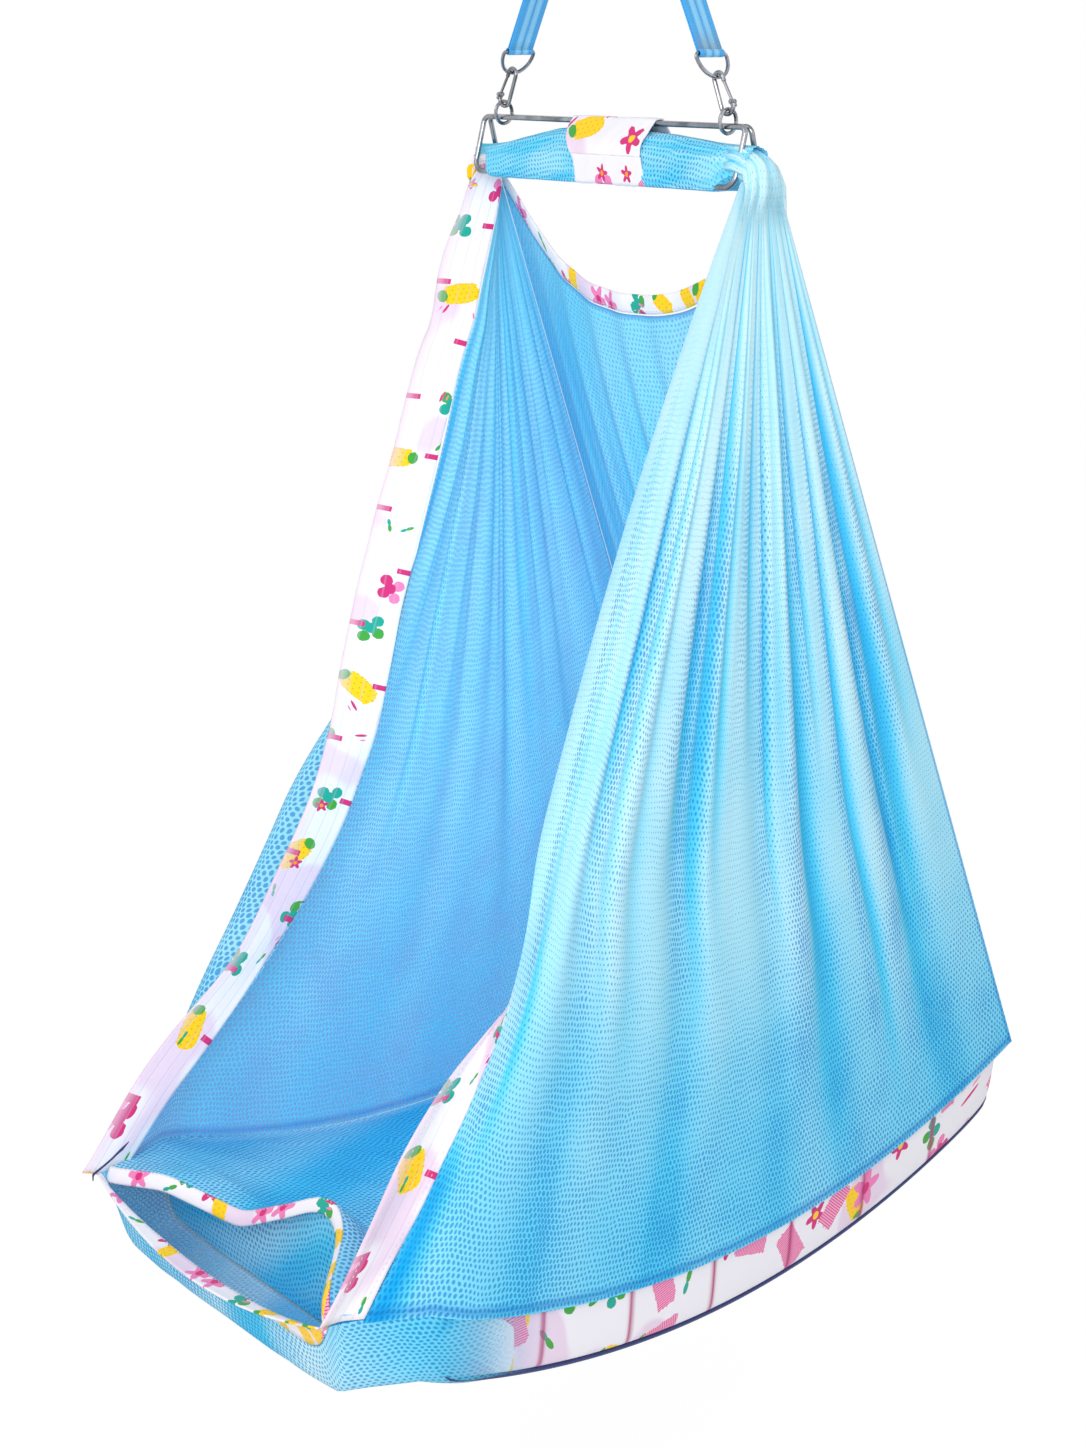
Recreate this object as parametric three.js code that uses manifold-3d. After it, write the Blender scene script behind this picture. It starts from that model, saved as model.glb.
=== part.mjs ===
// Hanging baby cradle: a net tent gathered on two steel hanger loops, over a mattress in a net pocket.
// Millimetres, +Z up, +X along the hanger to the right, -Y towards the open end of the tent.
// The origin is the inside top of the steel hang ring, where the hook of a stand or ceiling holds it.
import * as THREE from 'three';
import { mergeVertices } from 'three/addons/utils/BufferGeometryUtils.js';
import Module from 'manifold-3d';

const wasm = await Module();
wasm.setup();

// Clearances
const fitGap = 0.3;
const clothGap = 0.5;
const seamGap = 1.2;
const cutOverrun = 2;

// Share of a surface over which its slope is measured
const nearStep = 0.001;

// Hang ring and strap ring
const hangRingBore = 34;
const hangRingWire = 6;
const strapRingWire = 5;
const strapRingDrop = 26;

// Webbing sling
const webbingWidth = 30;
const webbingThickness = 3;
const strapLength = 277;
const loopTaper = 26;
const seamOverlap = 0.4;

// End rings, snap hooks and eye rings
const endRingWire = 3.5;
const endRingDepth = 22;
const hookWire = 4;
const hookSpan = 29;
const hookTopRadius = 5;
const hookBottomRadius = 7;
const hookNoseDrop = 5;
const gateWire = 2.8;
const gatePinDiameter = 1.6;
const gateEyeDiameter = 4.6;
const gateEyeWidth = 2.6;
const cheekThickness = 1.3;
const pinHeadDiameter = 3;
const pinHeadThickness = 0.7;
const eyeRingOuter = 24;
const eyeRingWire = 3.5;
const eyeRingInset = 24.16;

// Hanger loops
const rodDiameter = 5;
const loopWidth = 340;
const loopHeight = 52;
const topBarSpacing = 6;
const lowBarSpacing = 34;
const topCornerRadius = 6;
const lowCornerRadius = 12;
const ringRise = 4.15;

// Gathered net roll and its tie band
const rollHeight = 44;
const rollWidth = 46;
const rollEndHeight = 22;
const rollEndWidth = 12;
const rollReach = 182;
const rollFoldDepth = 1.6;
const rollFolds = 6;
const rollTwist = 2;
const rollFullShare = 0.25;
const rollSlimShare = 0.95;
const rollEndLiftShare = 0.62;
const tieBandWidth = 110;
const tieBandThickness = 1.6;

// Bed: rim line, mattress and net pocket
const bedWidth = 446;
const bedLength = 806;
const bedDrop = 1050;
const bedRise = 82;
const mattressThickness = 60;
const mattressCrown = 12;
const crownAcrossPower = 4;
const crownAlongPower = 6;
const channelCount = 7;
const channelDepth = 5;
const baseThickness = 7;
const cornerDraw = 12;
const hemThickness = 2.4;
const pocketSlack = 8;
const netThickness = 2;
const wallPower = 18;

// Mouth of the pocket at the open end
const mouthWidth = 356;
const mouthReach = 92;
const mouthRise = 9;
const mouthDeepShare = 0.3;
const lowerLipSag = 38;
const lowerLipBow = 16;
const upperLipInset = 64;
const upperLipLift = 22;
const upperLipPower = 1.5;
const upperLipWaves = 1.5;
const upperLipWaveShare = 0.6;
const lipTrimWidth = 14;

// Side nets, far net and their printed trims
const gatherWidth = 26;
const gatherDrop = 44;
const sideFolds = 6;
const samplesPerFold = 6;
const sideFoldDepth = 14;
const foldDriftShare = 0.03;
const foldStartShares = [0.02, 0.3];
const foldEndShares = [0.55, 0.99];
const calmEdgeShares = [0.1, 0.9];
const entryTrimWidth = 40;
const entryBow = 82;
const entryCurl = 20;
const entryBowPower = 2.3;
const entryBowSpreadShare = 1.6;
const turnStartShares = [0.02, 0.2];
const turnEndShares = [0.58, 0.88];
const turnGap = 5;
const trimFlare = 45 * Math.PI / 180;
const flareStartShares = [0.03, 0.2];
const flareEndShares = [0.88, 0.97];
const leftDrawAside = 38;
const leftDrawBack = 41;
const drawStartShares = [0.02, 0.17];
const drawEndShares = [0.55, 1];
const drawReachShares = [0.1, 0.85];
const scoopDepth = 150;
const scoopPower = 2.4;
const farBow = 55;
const farBowPower = 0.6;
const farFolds = 4;
const farFoldDepth = 3.75;
const scoopTrimWidth = 14;
const trimThickness = 2.4;

// Corner tie tape
const tieTapeWidth = 9;
const tieTapeThickness = 1.4;
const tieTapeLength = 42;

const steel = { color: 0xc9ccd0, roughness: 0.25, metalness: 1 };
const webbing = { color: 0x5fb9e8, roughness: 0.8, metalness: 0 };
const skyNet = { color: 0x6cc4f2, roughness: 0.85, metalness: 0 };
const printCloth = { color: 0xf6eef2, roughness: 0.85, metalness: 0 };
const navyCloth = { color: 0x1c2c66, roughness: 0.8, metalness: 0 };

const part = new THREE.Group();
const point = (x, y, z) => new THREE.Vector3(x, y, z);
const lerp = THREE.MathUtils.lerp;
const smooth = THREE.MathUtils.smoothstep;

function addPiece(name, geometry, finish, parent = part) {
  const mesh = new THREE.Mesh(geometry, new THREE.MeshStandardMaterial(finish));
  mesh.name = name;
  parent.add(mesh);
  return mesh;
}

// Closed mesh from shared points and triangles
function closedGeometry(points, triangles) {
  const geometry = new THREE.BufferGeometry();
  const flat = points.flatMap((p) => [p.x, p.y, p.z]);
  geometry.setAttribute('position', new THREE.Float32BufferAttribute(flat, 3));
  geometry.setIndex(triangles);
  return geometry;
}

function toSolid(geometry) {
  const bare = geometry.clone();
  bare.deleteAttribute('normal');
  bare.deleteAttribute('uv');
  const merged = mergeVertices(bare);
  return new wasm.Manifold(new wasm.Mesh({
    numProp: 3,
    vertProperties: new Float32Array(merged.attributes.position.array),
    triVerts: new Uint32Array(merged.index.array),
  }));
}

function fromSolid(solid) {
  const mesh = solid.getMesh();
  const geometry = new THREE.BufferGeometry();
  geometry.setAttribute('position', new THREE.BufferAttribute(mesh.vertProperties, mesh.numProp));
  geometry.setIndex(new THREE.BufferAttribute(mesh.triVerts, 1));
  return geometry;
}

// Round rod along a path that lies in a plane of constant Y
function planarRod(path, diameter, sides, closed) {
  const count = path.length;
  const across = point(0, 1, 0);
  const points = [];
  path.forEach((here, i) => {
    const before = closed ? path[(i + count - 1) % count] : path[Math.max(i - 1, 0)];
    const after = closed ? path[(i + 1) % count] : path[Math.min(i + 1, count - 1)];
    const way = after.clone().sub(before).normalize();
    const out = way.clone().cross(across);
    for (let k = 0; k < sides; k += 1) {
      const turn = 2 * Math.PI * k / sides;
      const ring = out.clone().multiplyScalar(Math.cos(turn)).addScaledVector(across, Math.sin(turn));
      points.push(here.clone().addScaledVector(ring, diameter / 2));
    }
  });
  const triangles = [];
  const spans = closed ? count : count - 1;
  for (let i = 0; i < spans; i += 1) {
    for (let k = 0; k < sides; k += 1) {
      const a = i * sides + k;
      const b = i * sides + (k + 1) % sides;
      const c = ((i + 1) % count) * sides + k;
      const d = ((i + 1) % count) * sides + (k + 1) % sides;
      triangles.push(a, c, b, b, c, d);
    }
  }
  if (!closed) {
    const last = (count - 1) * sides;
    for (let k = 1; k < sides - 1; k += 1) {
      triangles.push(0, k, k + 1);
      triangles.push(last, last + k + 1, last + k);
    }
  }
  return outward(closedGeometry(points, triangles));
}

// Turn a closed mesh right side out
function outward(geometry) {
  const place = geometry.attributes.position;
  const index = geometry.index.array;
  let volume = 0;
  const corner = (i) => new THREE.Vector3().fromBufferAttribute(place, index[i]);
  for (let i = 0; i < index.length; i += 3) {
    volume += corner(i).dot(corner(i + 1).cross(corner(i + 2)));
  }
  if (volume < 0) {
    geometry.setIndex(Array.from(index).reverse());
  }
  return geometry;
}

// Arc points in the XZ plane, angles from +X towards +Z
function arc(x, z, radius, from, to, steps) {
  return Array.from({ length: steps + 1 }, (_, i) => {
    const turn = lerp(from, to, i / steps);
    return point(x + radius * Math.cos(turn), 0, z + radius * Math.sin(turn));
  });
}

// Closed slab between two grids of points that are stored column by column
function closedSlab(upper, lower, columns, rows) {
  const far = columns * rows;
  const triangles = [];
  for (let i = 0; i < columns - 1; i += 1) {
    for (let j = 0; j < rows - 1; j += 1) {
      const a = i * rows + j;
      const b = a + rows;
      triangles.push(a, b, a + 1, a + 1, b, b + 1);
      triangles.push(far + a, far + a + 1, far + b, far + a + 1, far + b + 1, far + b);
    }
  }
  const edge = [];
  for (let i = 0; i < columns; i += 1) edge.push(i * rows);
  for (let j = 1; j < rows; j += 1) edge.push((columns - 1) * rows + j);
  for (let i = columns - 2; i >= 0; i -= 1) edge.push(i * rows + rows - 1);
  for (let j = rows - 2; j > 0; j -= 1) edge.push(j);
  edge.forEach((a, i) => {
    const b = edge[(i + 1) % edge.length];
    triangles.push(a, far + a, b, b, far + a, far + b);
  });
  return outward(closedGeometry(upper.concat(lower), triangles));
}

// Thin cloth wall of even thickness about a surface(u, v) with u and v from 0 to 1
function clothWall(surface, thickness, uShares, vShares) {
  const rows = vShares.length;
  const columns = uShares.length;
  const upper = [];
  const lower = [];
  uShares.forEach((u) => vShares.forEach((v) => {
    const here = surface(u, v);
    const alongU = surface(Math.min(u + nearStep, 1), v).sub(surface(Math.max(u - nearStep, 0), v));
    const alongV = surface(u, Math.min(v + nearStep, 1)).sub(surface(u, Math.max(v - nearStep, 0)));
    const normal = alongU.cross(alongV).normalize();
    upper.push(here.clone().addScaledVector(normal, thickness / 2));
    lower.push(here.clone().addScaledVector(normal, -thickness / 2));
  }));
  return closedSlab(upper, lower, columns, rows);
}

const evenShares = (steps) => Array.from({ length: steps + 1 }, (_, i) => i / steps);

// Heights that follow from the chain above the hanger
const hangRingCentre = -hangRingBore / 2;
const hangRingFoot = hangRingCentre - hangRingBore / 2 - hangRingWire / 2;
const strapRingTop = hangRingFoot + (hangRingWire + strapRingWire) / 2 + fitGap;
const strapBarHeight = strapRingTop - strapRingDrop;
const chainLength = strapLength + endRingDepth + hookSpan;
const eyeRingSide = loopWidth / 2 - eyeRingInset;
const strapLean = Math.asin(eyeRingSide / chainLength);
const eyeRingCentre = strapBarHeight - chainLength * Math.cos(strapLean) - (eyeRingOuter - eyeRingWire) / 2;
const topBarHeight = eyeRingCentre - ringRise;

// Round steel ring that a stand's hook holds
function hangRing() {
  const ring = new THREE.TorusGeometry((hangRingBore + hangRingWire) / 2, hangRingWire / 2, 10, 28);
  ring.rotateX(Math.PI / 2);
  ring.translate(0, 0, hangRingCentre);
  return ring;
}

// D ring: a straight bar at height 0 and a round bow below it, drawn in XZ and turned across
function barRing(depth, wire, sides) {
  const half = webbingWidth / 2 + fitGap + wire;
  const bend = Math.min(half, depth - wire);
  const path = [
    ...arc(half - wire, -wire, wire, Math.PI / 2, 0, 3),
    ...arc(half - bend, bend - depth, bend, 0, -Math.PI / 2, 7),
    ...arc(bend - half, bend - depth, bend, -Math.PI / 2, -Math.PI, 7).slice(half > bend ? 0 : 1),
    ...arc(wire - half, -wire, wire, Math.PI, Math.PI / 2, 3),
  ];
  const apart = path.filter((p, i) => p.distanceTo(path[(i + 1) % path.length]) > nearStep);
  return planarRod(apart, wire, sides, true).rotateZ(Math.PI / 2);
}

// Extrude an XZ outline across the webbing's width
function acrossWebbing(outline) {
  const shape = new THREE.Shape(outline.map(([x, z]) => new THREE.Vector2(x, z)));
  const geometry = new THREE.ExtrudeGeometry(shape, { depth: webbingWidth, bevelEnabled: false });
  return geometry.rotateX(Math.PI / 2).translate(0, webbingWidth / 2, 0);
}

// Sewn loop round an end ring's bar, tapering into the strap's leg
function strapLoop() {
  const outer = endRingWire / 2 + fitGap + webbingThickness;
  const half = webbingThickness / 2;
  const lean = Math.asin((outer - half) / loopTaper);
  const bar = -strapLength;
  const outline = [[half, bar + loopTaper]];
  for (let i = 0; i <= 16; i += 1) {
    const turn = lerp(lean, -Math.PI - lean, i / 16);
    outline.push([outer * Math.cos(turn), bar + outer * Math.sin(turn)]);
  }
  outline.push([-half, bar + loopTaper]);
  return acrossWebbing(outline);
}

// One webbing strap over the strap ring's bar, down to a sewn loop at each end
function slingStrap() {
  const inner = strapRingWire / 2 + fitGap;
  const outer = inner + webbingThickness;
  const half = webbingThickness / 2;
  const turns = evenShares(12).map((share) => lerp(strapLean, Math.PI - strapLean, share));
  const crown = turns.map((turn) => [outer * Math.cos(turn), outer * Math.sin(turn)])
    .concat(turns.reverse().map((turn) => [inner * Math.cos(turn), inner * Math.sin(turn)]));
  let strap = toSolid(acrossWebbing(crown));
  [-1, 1].forEach((side) => {
    const legFoot = loopTaper - strapLength - seamOverlap;
    const leg = [
      [side * inner, seamOverlap],
      [side * outer, seamOverlap],
      [side * half, legFoot],
      [-side * half, legFoot],
    ];
    const turned = side * strapLean;
    const bore = new THREE.CylinderGeometry(
      endRingWire / 2 + fitGap,
      endRingWire / 2 + fitGap,
      webbingWidth + cutOverrun,
      16,
    ).translate(0, 0, -strapLength);
    strap = strap
      .add(toSolid(acrossWebbing(side > 0 ? leg : leg.reverse()).rotateY(-turned)))
      .add(toSolid(strapLoop().rotateY(-turned)))
      .subtract(toSolid(bore.rotateY(-turned)));
  });
  return fromSolid(strap);
}

// Snap hook in its own XZ plane: the end ring's wire at height 0, the eye ring's wire at -hookSpan
const hookTop = (endRingWire + hookWire) / 2 + fitGap;
const hookFoot = -hookSpan - (eyeRingWire + hookWire) / 2 - fitGap;
const gateSeat = hookFoot + hookBottomRadius + (gateEyeDiameter - hookWire) / 2 + fitGap;

function pinRod(diameter, length, sides) {
  return new THREE.CylinderGeometry(diameter / 2, diameter / 2, length, sides)
    .translate(hookBottomRadius, 0, gateSeat);
}

function hookBody() {
  const topCentre = hookTop - hookTopRadius;
  const footCentre = hookFoot + hookBottomRadius;
  const path = [
    point(hookTopRadius, 0, topCentre - hookNoseDrop),
    ...arc(0, topCentre, hookTopRadius, 0, Math.PI, 10),
    ...arc(0, footCentre, hookBottomRadius, Math.PI, 2 * Math.PI, 12),
  ];
  const neck = path[path.length - 1];
  neck.z -= fitGap;
  let body = toSolid(planarRod(path, hookWire, 10, false));
  const cheekReach = gateEyeWidth / 2 + fitGap + cheekThickness / 2;
  [-1, 1].forEach((side) => {
    const cheek = new THREE.CylinderGeometry(gateEyeDiameter / 2, gateEyeDiameter / 2, cheekThickness, 14);
    const strut = new THREE.BoxGeometry(gateEyeDiameter / 2, cheekThickness, gateEyeDiameter);
    const drop = gateSeat - gateEyeDiameter / 2;
    body = body
      .add(toSolid(cheek.translate(hookBottomRadius, side * cheekReach, gateSeat)))
      .add(toSolid(strut.translate(hookBottomRadius, side * cheekReach, drop)));
  });
  const eyeRoom = new THREE.CylinderGeometry(
    gateEyeDiameter / 2 + fitGap,
    gateEyeDiameter / 2 + fitGap,
    gateEyeWidth + 2 * fitGap,
    14,
  ).translate(hookBottomRadius, 0, gateSeat);
  const pinLength = gateEyeWidth + 2 * (2 * fitGap + cheekThickness) + cutOverrun;
  const pinBore = pinRod(gatePinDiameter + 2 * fitGap, pinLength, 12);
  return fromSolid(body.subtract(toSolid(eyeRoom)).subtract(toSolid(pinBore)));
}

// Spring gate: an eye on the pin and a rod up to the hook's nose
function hookGate() {
  const noseHeight = hookTop - hookTopRadius - hookNoseDrop;
  const foot = point(hookBottomRadius, 0, gateSeat);
  const tip = point(hookTopRadius, 0, noseHeight - fitGap);
  const rod = planarRod([foot, foot.clone().lerp(tip, 0.5), tip], gateWire, 8, false);
  const gate = toSolid(pinRod(gateEyeDiameter, gateEyeWidth, 14)).add(toSolid(rod));
  const bore = pinRod(gatePinDiameter + 2 * fitGap, gateEyeDiameter + cutOverrun, 12);
  return fromSolid(gate.subtract(toSolid(bore)));
}

function gatePin() {
  const grip = gateEyeWidth + 2 * (2 * fitGap + cheekThickness);
  let pin = toSolid(pinRod(gatePinDiameter, grip + seamOverlap, 12));
  [-1, 1].forEach((side) => {
    const head = pinRod(pinHeadDiameter, pinHeadThickness, 12);
    pin = pin.add(toSolid(head.translate(0, side * (grip + pinHeadThickness) / 2, 0)));
  });
  return fromSolid(pin);
}

// Closed steel rod loop in XZ, its top bar at height 0
function hangerLoop(diameter) {
  const half = loopWidth / 2;
  const low = -loopHeight;
  const path = [
    ...arc(half - topCornerRadius, -topCornerRadius, topCornerRadius, Math.PI / 2, 0, 4),
    ...arc(half - lowCornerRadius, low + lowCornerRadius, lowCornerRadius, 0, -Math.PI / 2, 6),
    ...arc(lowCornerRadius - half, low + lowCornerRadius, lowCornerRadius, -Math.PI / 2, -Math.PI, 6),
    ...arc(topCornerRadius - half, -topCornerRadius, topCornerRadius, Math.PI, Math.PI / 2, 4),
  ];
  return planarRod(path, diameter, 8, true);
}

// Each loop leans out about its top bar, so that the low bars stand apart
const loopLean = Math.asin((lowBarSpacing - topBarSpacing) / 2 / loopHeight);
const lowBarHeight = topBarHeight - loopHeight * Math.cos(loopLean);

function placedLoop(side, diameter) {
  return hangerLoop(diameter)
    .rotateX(side * loopLean)
    .translate(0, side * topBarSpacing / 2, topBarHeight);
}

// Section of the gathered net roll at a share of its reach, -1 to 1
function rollSection(share) {
  const slim = smooth(Math.abs(share), rollFullShare, rollSlimShare);
  return {
    halfWidth: lerp(rollWidth, rollEndWidth, slim) / 2,
    halfHeight: lerp(rollHeight, rollEndHeight, slim) / 2,
    height: lowBarHeight + lerp(rollHeight / 2, rollEndHeight * rollEndLiftShare, slim),
  };
}

const halfRollShares = [0.22, 0.42, 0.6, 0.74, 0.85, 0.93, 1];

function netRoll() {
  const shares = [...halfRollShares.map((share) => -share).reverse(), 0, ...halfRollShares];
  const sides = 18;
  const points = [];
  shares.forEach((share) => {
    const section = rollSection(share);
    for (let k = 0; k < sides; k += 1) {
      const turn = 2 * Math.PI * k / sides;
      const swell = 1 - rollFoldDepth / rollHeight * (1 + Math.cos(rollFolds * turn + rollTwist * share));
      points.push(point(
        share * rollReach,
        section.halfWidth * swell * Math.cos(turn),
        section.height + section.halfHeight * swell * Math.sin(turn),
      ));
    }
  });
  const triangles = [];
  const last = (shares.length - 1) * sides;
  for (let i = 0; i < shares.length - 1; i += 1) {
    for (let k = 0; k < sides; k += 1) {
      const a = i * sides + k;
      const b = i * sides + (k + 1) % sides;
      triangles.push(a, b, a + sides, b, b + sides, a + sides);
    }
  }
  for (let k = 1; k < sides - 1; k += 1) {
    triangles.push(0, k + 1, k);
    triangles.push(last, last + k, last + k + 1);
  }
  let roll = toSolid(outward(closedGeometry(points, triangles)));
  [-1, 1].forEach((side) => {
    roll = roll.subtract(toSolid(placedLoop(side, rodDiameter + 2 * clothGap)));
  });
  return fromSolid(roll);
}

// Convex outline round a cloud of points, as [y, z] pairs
function convexOutline(cloud) {
  const sorted = [...cloud].sort((a, b) => a[0] - b[0] || a[1] - b[1]);
  const turnOf = (o, a, b) => (a[0] - o[0]) * (b[1] - o[1]) - (a[1] - o[1]) * (b[0] - o[0]);
  const chain = (list) => list.reduce((hull, p) => {
    while (hull.length > 1 && turnOf(hull[hull.length - 2], hull[hull.length - 1], p) <= 0) hull.pop();
    hull.push(p);
    return hull;
  }, []);
  const lower = chain(sorted);
  const upper = chain(sorted.reverse());
  return lower.slice(0, -1).concat(upper.slice(0, -1));
}

// Tie band round the roll, the low bars and the top bars, open at both ends
function tieBand() {
  const outlineAt = (extra) => {
    const cloud = [];
    const roll = rollSection(0);
    evenShares(20).forEach((share) => {
      const y = Math.cos(2 * Math.PI * share);
      const z = Math.sin(2 * Math.PI * share);
      const rod = rodDiameter / 2 + extra;
      cloud.push([(roll.halfWidth + extra) * y, roll.height + (roll.halfHeight + extra) * z]);
      [-1, 1].forEach((side) => {
        cloud.push([side * topBarSpacing / 2 + rod * y, topBarHeight + rod * z]);
        cloud.push([side * lowBarSpacing / 2 + rod * y, lowBarHeight + rod * z]);
      });
    });
    return convexOutline(cloud).map(([y, z]) => new THREE.Vector2(y, z));
  };
  const shape = new THREE.Shape(outlineAt(clothGap + tieBandThickness));
  shape.holes.push(new THREE.Path(outlineAt(clothGap)));
  const run = { depth: tieBandWidth, bevelEnabled: false, curveSegments: 1 };
  const band = new THREE.ExtrudeGeometry(shape, run);
  return band.rotateY(Math.PI / 2).rotateX(Math.PI / 2).translate(-tieBandWidth / 2, 0, 0);
}

// Rim line of the bed: the seam where the tent meets the pocket
const rimLow = topBarHeight - bedDrop;
const bedEnd = bedLength / 2;
const mouthEnd = bedEnd + mouthReach;

function rimHeight(y) {
  const past = Math.max(-y - bedEnd, 0) / mouthReach;
  const share = Math.min(Math.abs(y) / bedEnd, 1);
  return rimLow + bedRise * share * share + mouthRise * past;
}

function rimHalfWidth(y) {
  const past = smooth(-y, bedEnd - mouthReach / 2, mouthEnd);
  return lerp(bedWidth, mouthWidth, past) / 2;
}

// Side net from its gather at the hanger's end (t 0) to the rim (t 1), near edge s 0 to far edge s 1
const gatherSide = rollReach + trimThickness / 2 + clothGap;
const gatherHeight = topBarHeight - gatherDrop;

const heightShares = [0, 0.05, 0.12, 0.21, 0.31, 0.43, 0.55, 0.67, 0.78, 0.88, 0.97, 1];

function trimShare(t) {
  const rest = gatherWidth + (bedLength + mouthReach) * t;
  return entryTrimWidth / (entryTrimWidth + rest);
}

// Plain side surface, before its folds; on the left the entry edge draws back into the tent
function sidePlace(side, s, t) {
  const y = lerp(-mouthEnd, bedEnd, s);
  const gatherY = (s - 0.5) * (gatherWidth + entryTrimWidth / 2);
  const bow = Math.sin(Math.PI * Math.pow(t, entryBowPower))
    * Math.exp(-Math.pow(s / trimShare(t) / entryBowSpreadShare, 2));
  const drawn = smooth(t, ...drawStartShares) * (1 - smooth(t, ...drawEndShares))
    * (1 - smooth(s, ...drawReachShares));
  const left = side < 0 ? drawn : 0;
  return point(
    lerp(gatherSide, rimHalfWidth(y), t) - entryCurl * bow - leftDrawAside * left,
    lerp(gatherY, y, t) + entryBow * bow + leftDrawBack * left,
    lerp(gatherHeight, rimHeight(y) + netThickness / 2 + clothGap, t),
  );
}

// Turn of an entry trim about its seam. The left one flares out, and the right one folds in behind the
// net above the mouth, then faces in
function entryTurn(side, t) {
  const ending = 1 - smooth(t, ...flareEndShares);
  if (side < 0) return -trimFlare * smooth(t, ...flareStartShares) * ending;
  const unfolded = smooth(t, ...turnEndShares);
  return Math.PI * smooth(t, ...turnStartShares) * (1 - unfolded) + trimFlare * unfolded * ending;
}

function seamShare(side, t) {
  return trimShare(t) * (1 + Math.cos(entryTurn(side, t))) / 2;
}

function sideNet(side) {
  const surface = (u, t) => {
    const edge = seamShare(side, t);
    const step = nearStep;
    const stretch = sidePlace(side, edge + step, t).distanceTo(sidePlace(side, edge, t)) / step;
    const drift = foldDriftShare * Math.sin(2 * Math.PI * u);
    const place = sidePlace(side, lerp(edge + seamGap / stretch, 1, u + drift), t);
    const swell = smooth(t, ...foldStartShares) * (1 - smooth(t, ...foldEndShares));
    const behind = (trimShare(t) - edge) / (1 - edge);
    const edges = smooth(u, behind, behind + calmEdgeShares[0]) * (1 - smooth(u, calmEdgeShares[1], 1));
    place.x += sideFoldDepth * swell * edges * Math.sin(2 * Math.PI * sideFolds * u);
    return place;
  };
  const shares = evenShares(sideFolds * samplesPerFold);
  return outward(clothWall(surface, netThickness, shares, heightShares).scale(side, 1, 1));
}

// Unit normal of the plain side surface, towards the inside of the tent
function inwardNormal(side, s, t) {
  const alongS = sidePlace(side, s + nearStep, t).sub(sidePlace(side, s, t));
  const above = sidePlace(side, s, Math.max(t - nearStep, 0));
  const alongT = sidePlace(side, s, Math.min(t + nearStep, 1)).sub(above);
  return alongS.cross(alongT).normalize();
}

function entryTrim(side) {
  const surface = (u, t) => {
    const turn = entryTurn(side, t);
    const seam = seamShare(side, t);
    const free = seam - trimShare(t) * Math.cos(turn);
    const share = lerp(free, seam, u);
    const behind = side > 0 ? turnGap * (1 - Math.cos(turn)) / 2 : 0;
    return sidePlace(side, share, t)
      .addScaledVector(inwardNormal(side, share, t), behind)
      .addScaledVector(inwardNormal(side, seam, t), entryTrimWidth * (1 - u) * Math.sin(turn));
  };
  return outward(clothWall(surface, trimThickness, evenShares(2), heightShares).scale(side, 1, 1));
}

// Far net between the far edges of the side nets, under the scooped edge
const farInset = netThickness + 2 * clothGap;

function scoopShare(c) {
  return scoopDepth / (gatherHeight - rimHeight(bedEnd)) * (1 - Math.pow(Math.abs(c), scoopPower));
}

function farPlace(c, t) {
  const edge = sidePlace(1, 1, t);
  const calm = 1 - c * c;
  const bow = farBow * Math.sin(Math.PI * Math.pow(t, farBowPower)) * calm;
  const wave = farFoldDepth * Math.sin(2 * Math.PI * farFolds * c) * Math.sin(Math.PI * t) * calm;
  return point(c * (edge.x - farInset), edge.y - bow + wave, edge.z);
}

function scoopTrimShare(c, u) {
  const wide = scoopTrimWidth / (gatherHeight - rimHeight(bedEnd));
  return scoopShare(c) + wide * u;
}

function farNet() {
  const gap = 1.5 * seamGap / scoopTrimWidth;
  const surface = (u, v) => {
    const c = lerp(-1, 1, u);
    return farPlace(c, lerp(scoopTrimShare(c, 1 + gap), 1, v));
  };
  return clothWall(surface, netThickness, evenShares(18), evenShares(7));
}

function scoopTrim() {
  const surface = (u, v) => {
    const c = lerp(-1, 1, u);
    return farPlace(c, scoopTrimShare(c, v));
  };
  return clothWall(surface, trimThickness, evenShares(18), evenShares(1));
}

// Cross profile of the bed: flat in the middle, turning up steeply at the walls
const edgeShares = [0, 0.012, 0.035, 0.07, 0.13, 0.25, 0.38, 0.5, 0.62, 0.75, 0.87, 0.93, 0.965, 0.988, 1];
const bowl = (a) => 1 - Math.pow(Math.abs(a), wallPower);

const pocketDepth = mattressThickness + baseThickness + 2 * netThickness + pocketSlack;
const mattressHalfWidth = bedWidth / 2 - netThickness - pocketSlack / 2;
const mattressHalfLength = bedEnd - netThickness - pocketSlack / 2;

// Net pocket under the mattress, from the lower lip (v 0) to the far wall (v 1)
function pocketPlace(u, v) {
  const a = lerp(-1, 1, u);
  const lip = mouthEnd + lowerLipBow * (1 - a * a);
  const y = lerp(-lip, bedEnd, v);
  const deep = smooth(y, -mouthEnd, -mouthEnd + mouthReach * mouthDeepShare);
  const farWall = y > 0 ? bowl(y / bedEnd) : 1;
  const depth = lerp(lowerLipSag * (1 - a * a), pocketDepth * bowl(a) * farWall, deep);
  return point(a * rimHalfWidth(y), y, rimHeight(y) - depth);
}

const pocketShares = [
  0.026, 0.04, 0.06, 0.1, 0.15, 0.22, 0.32, 0.42, 0.52, 0.62, 0.72, 0.82, 0.9, 0.95, 0.98, 0.993, 1,
];
const lipShare = lipTrimWidth / (bedLength + mouthReach);

function pocketNet() {
  const start = lipShare + seamGap / (bedLength + mouthReach);
  const shares = [start, ...pocketShares.filter((share) => share > 1.5 * start)];
  return clothWall(pocketPlace, netThickness, edgeShares, shares);
}

function lowerLipTrim() {
  const surface = (u, v) => pocketPlace(u, v * lipShare);
  return clothWall(surface, trimThickness, edgeShares, evenShares(1));
}

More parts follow.
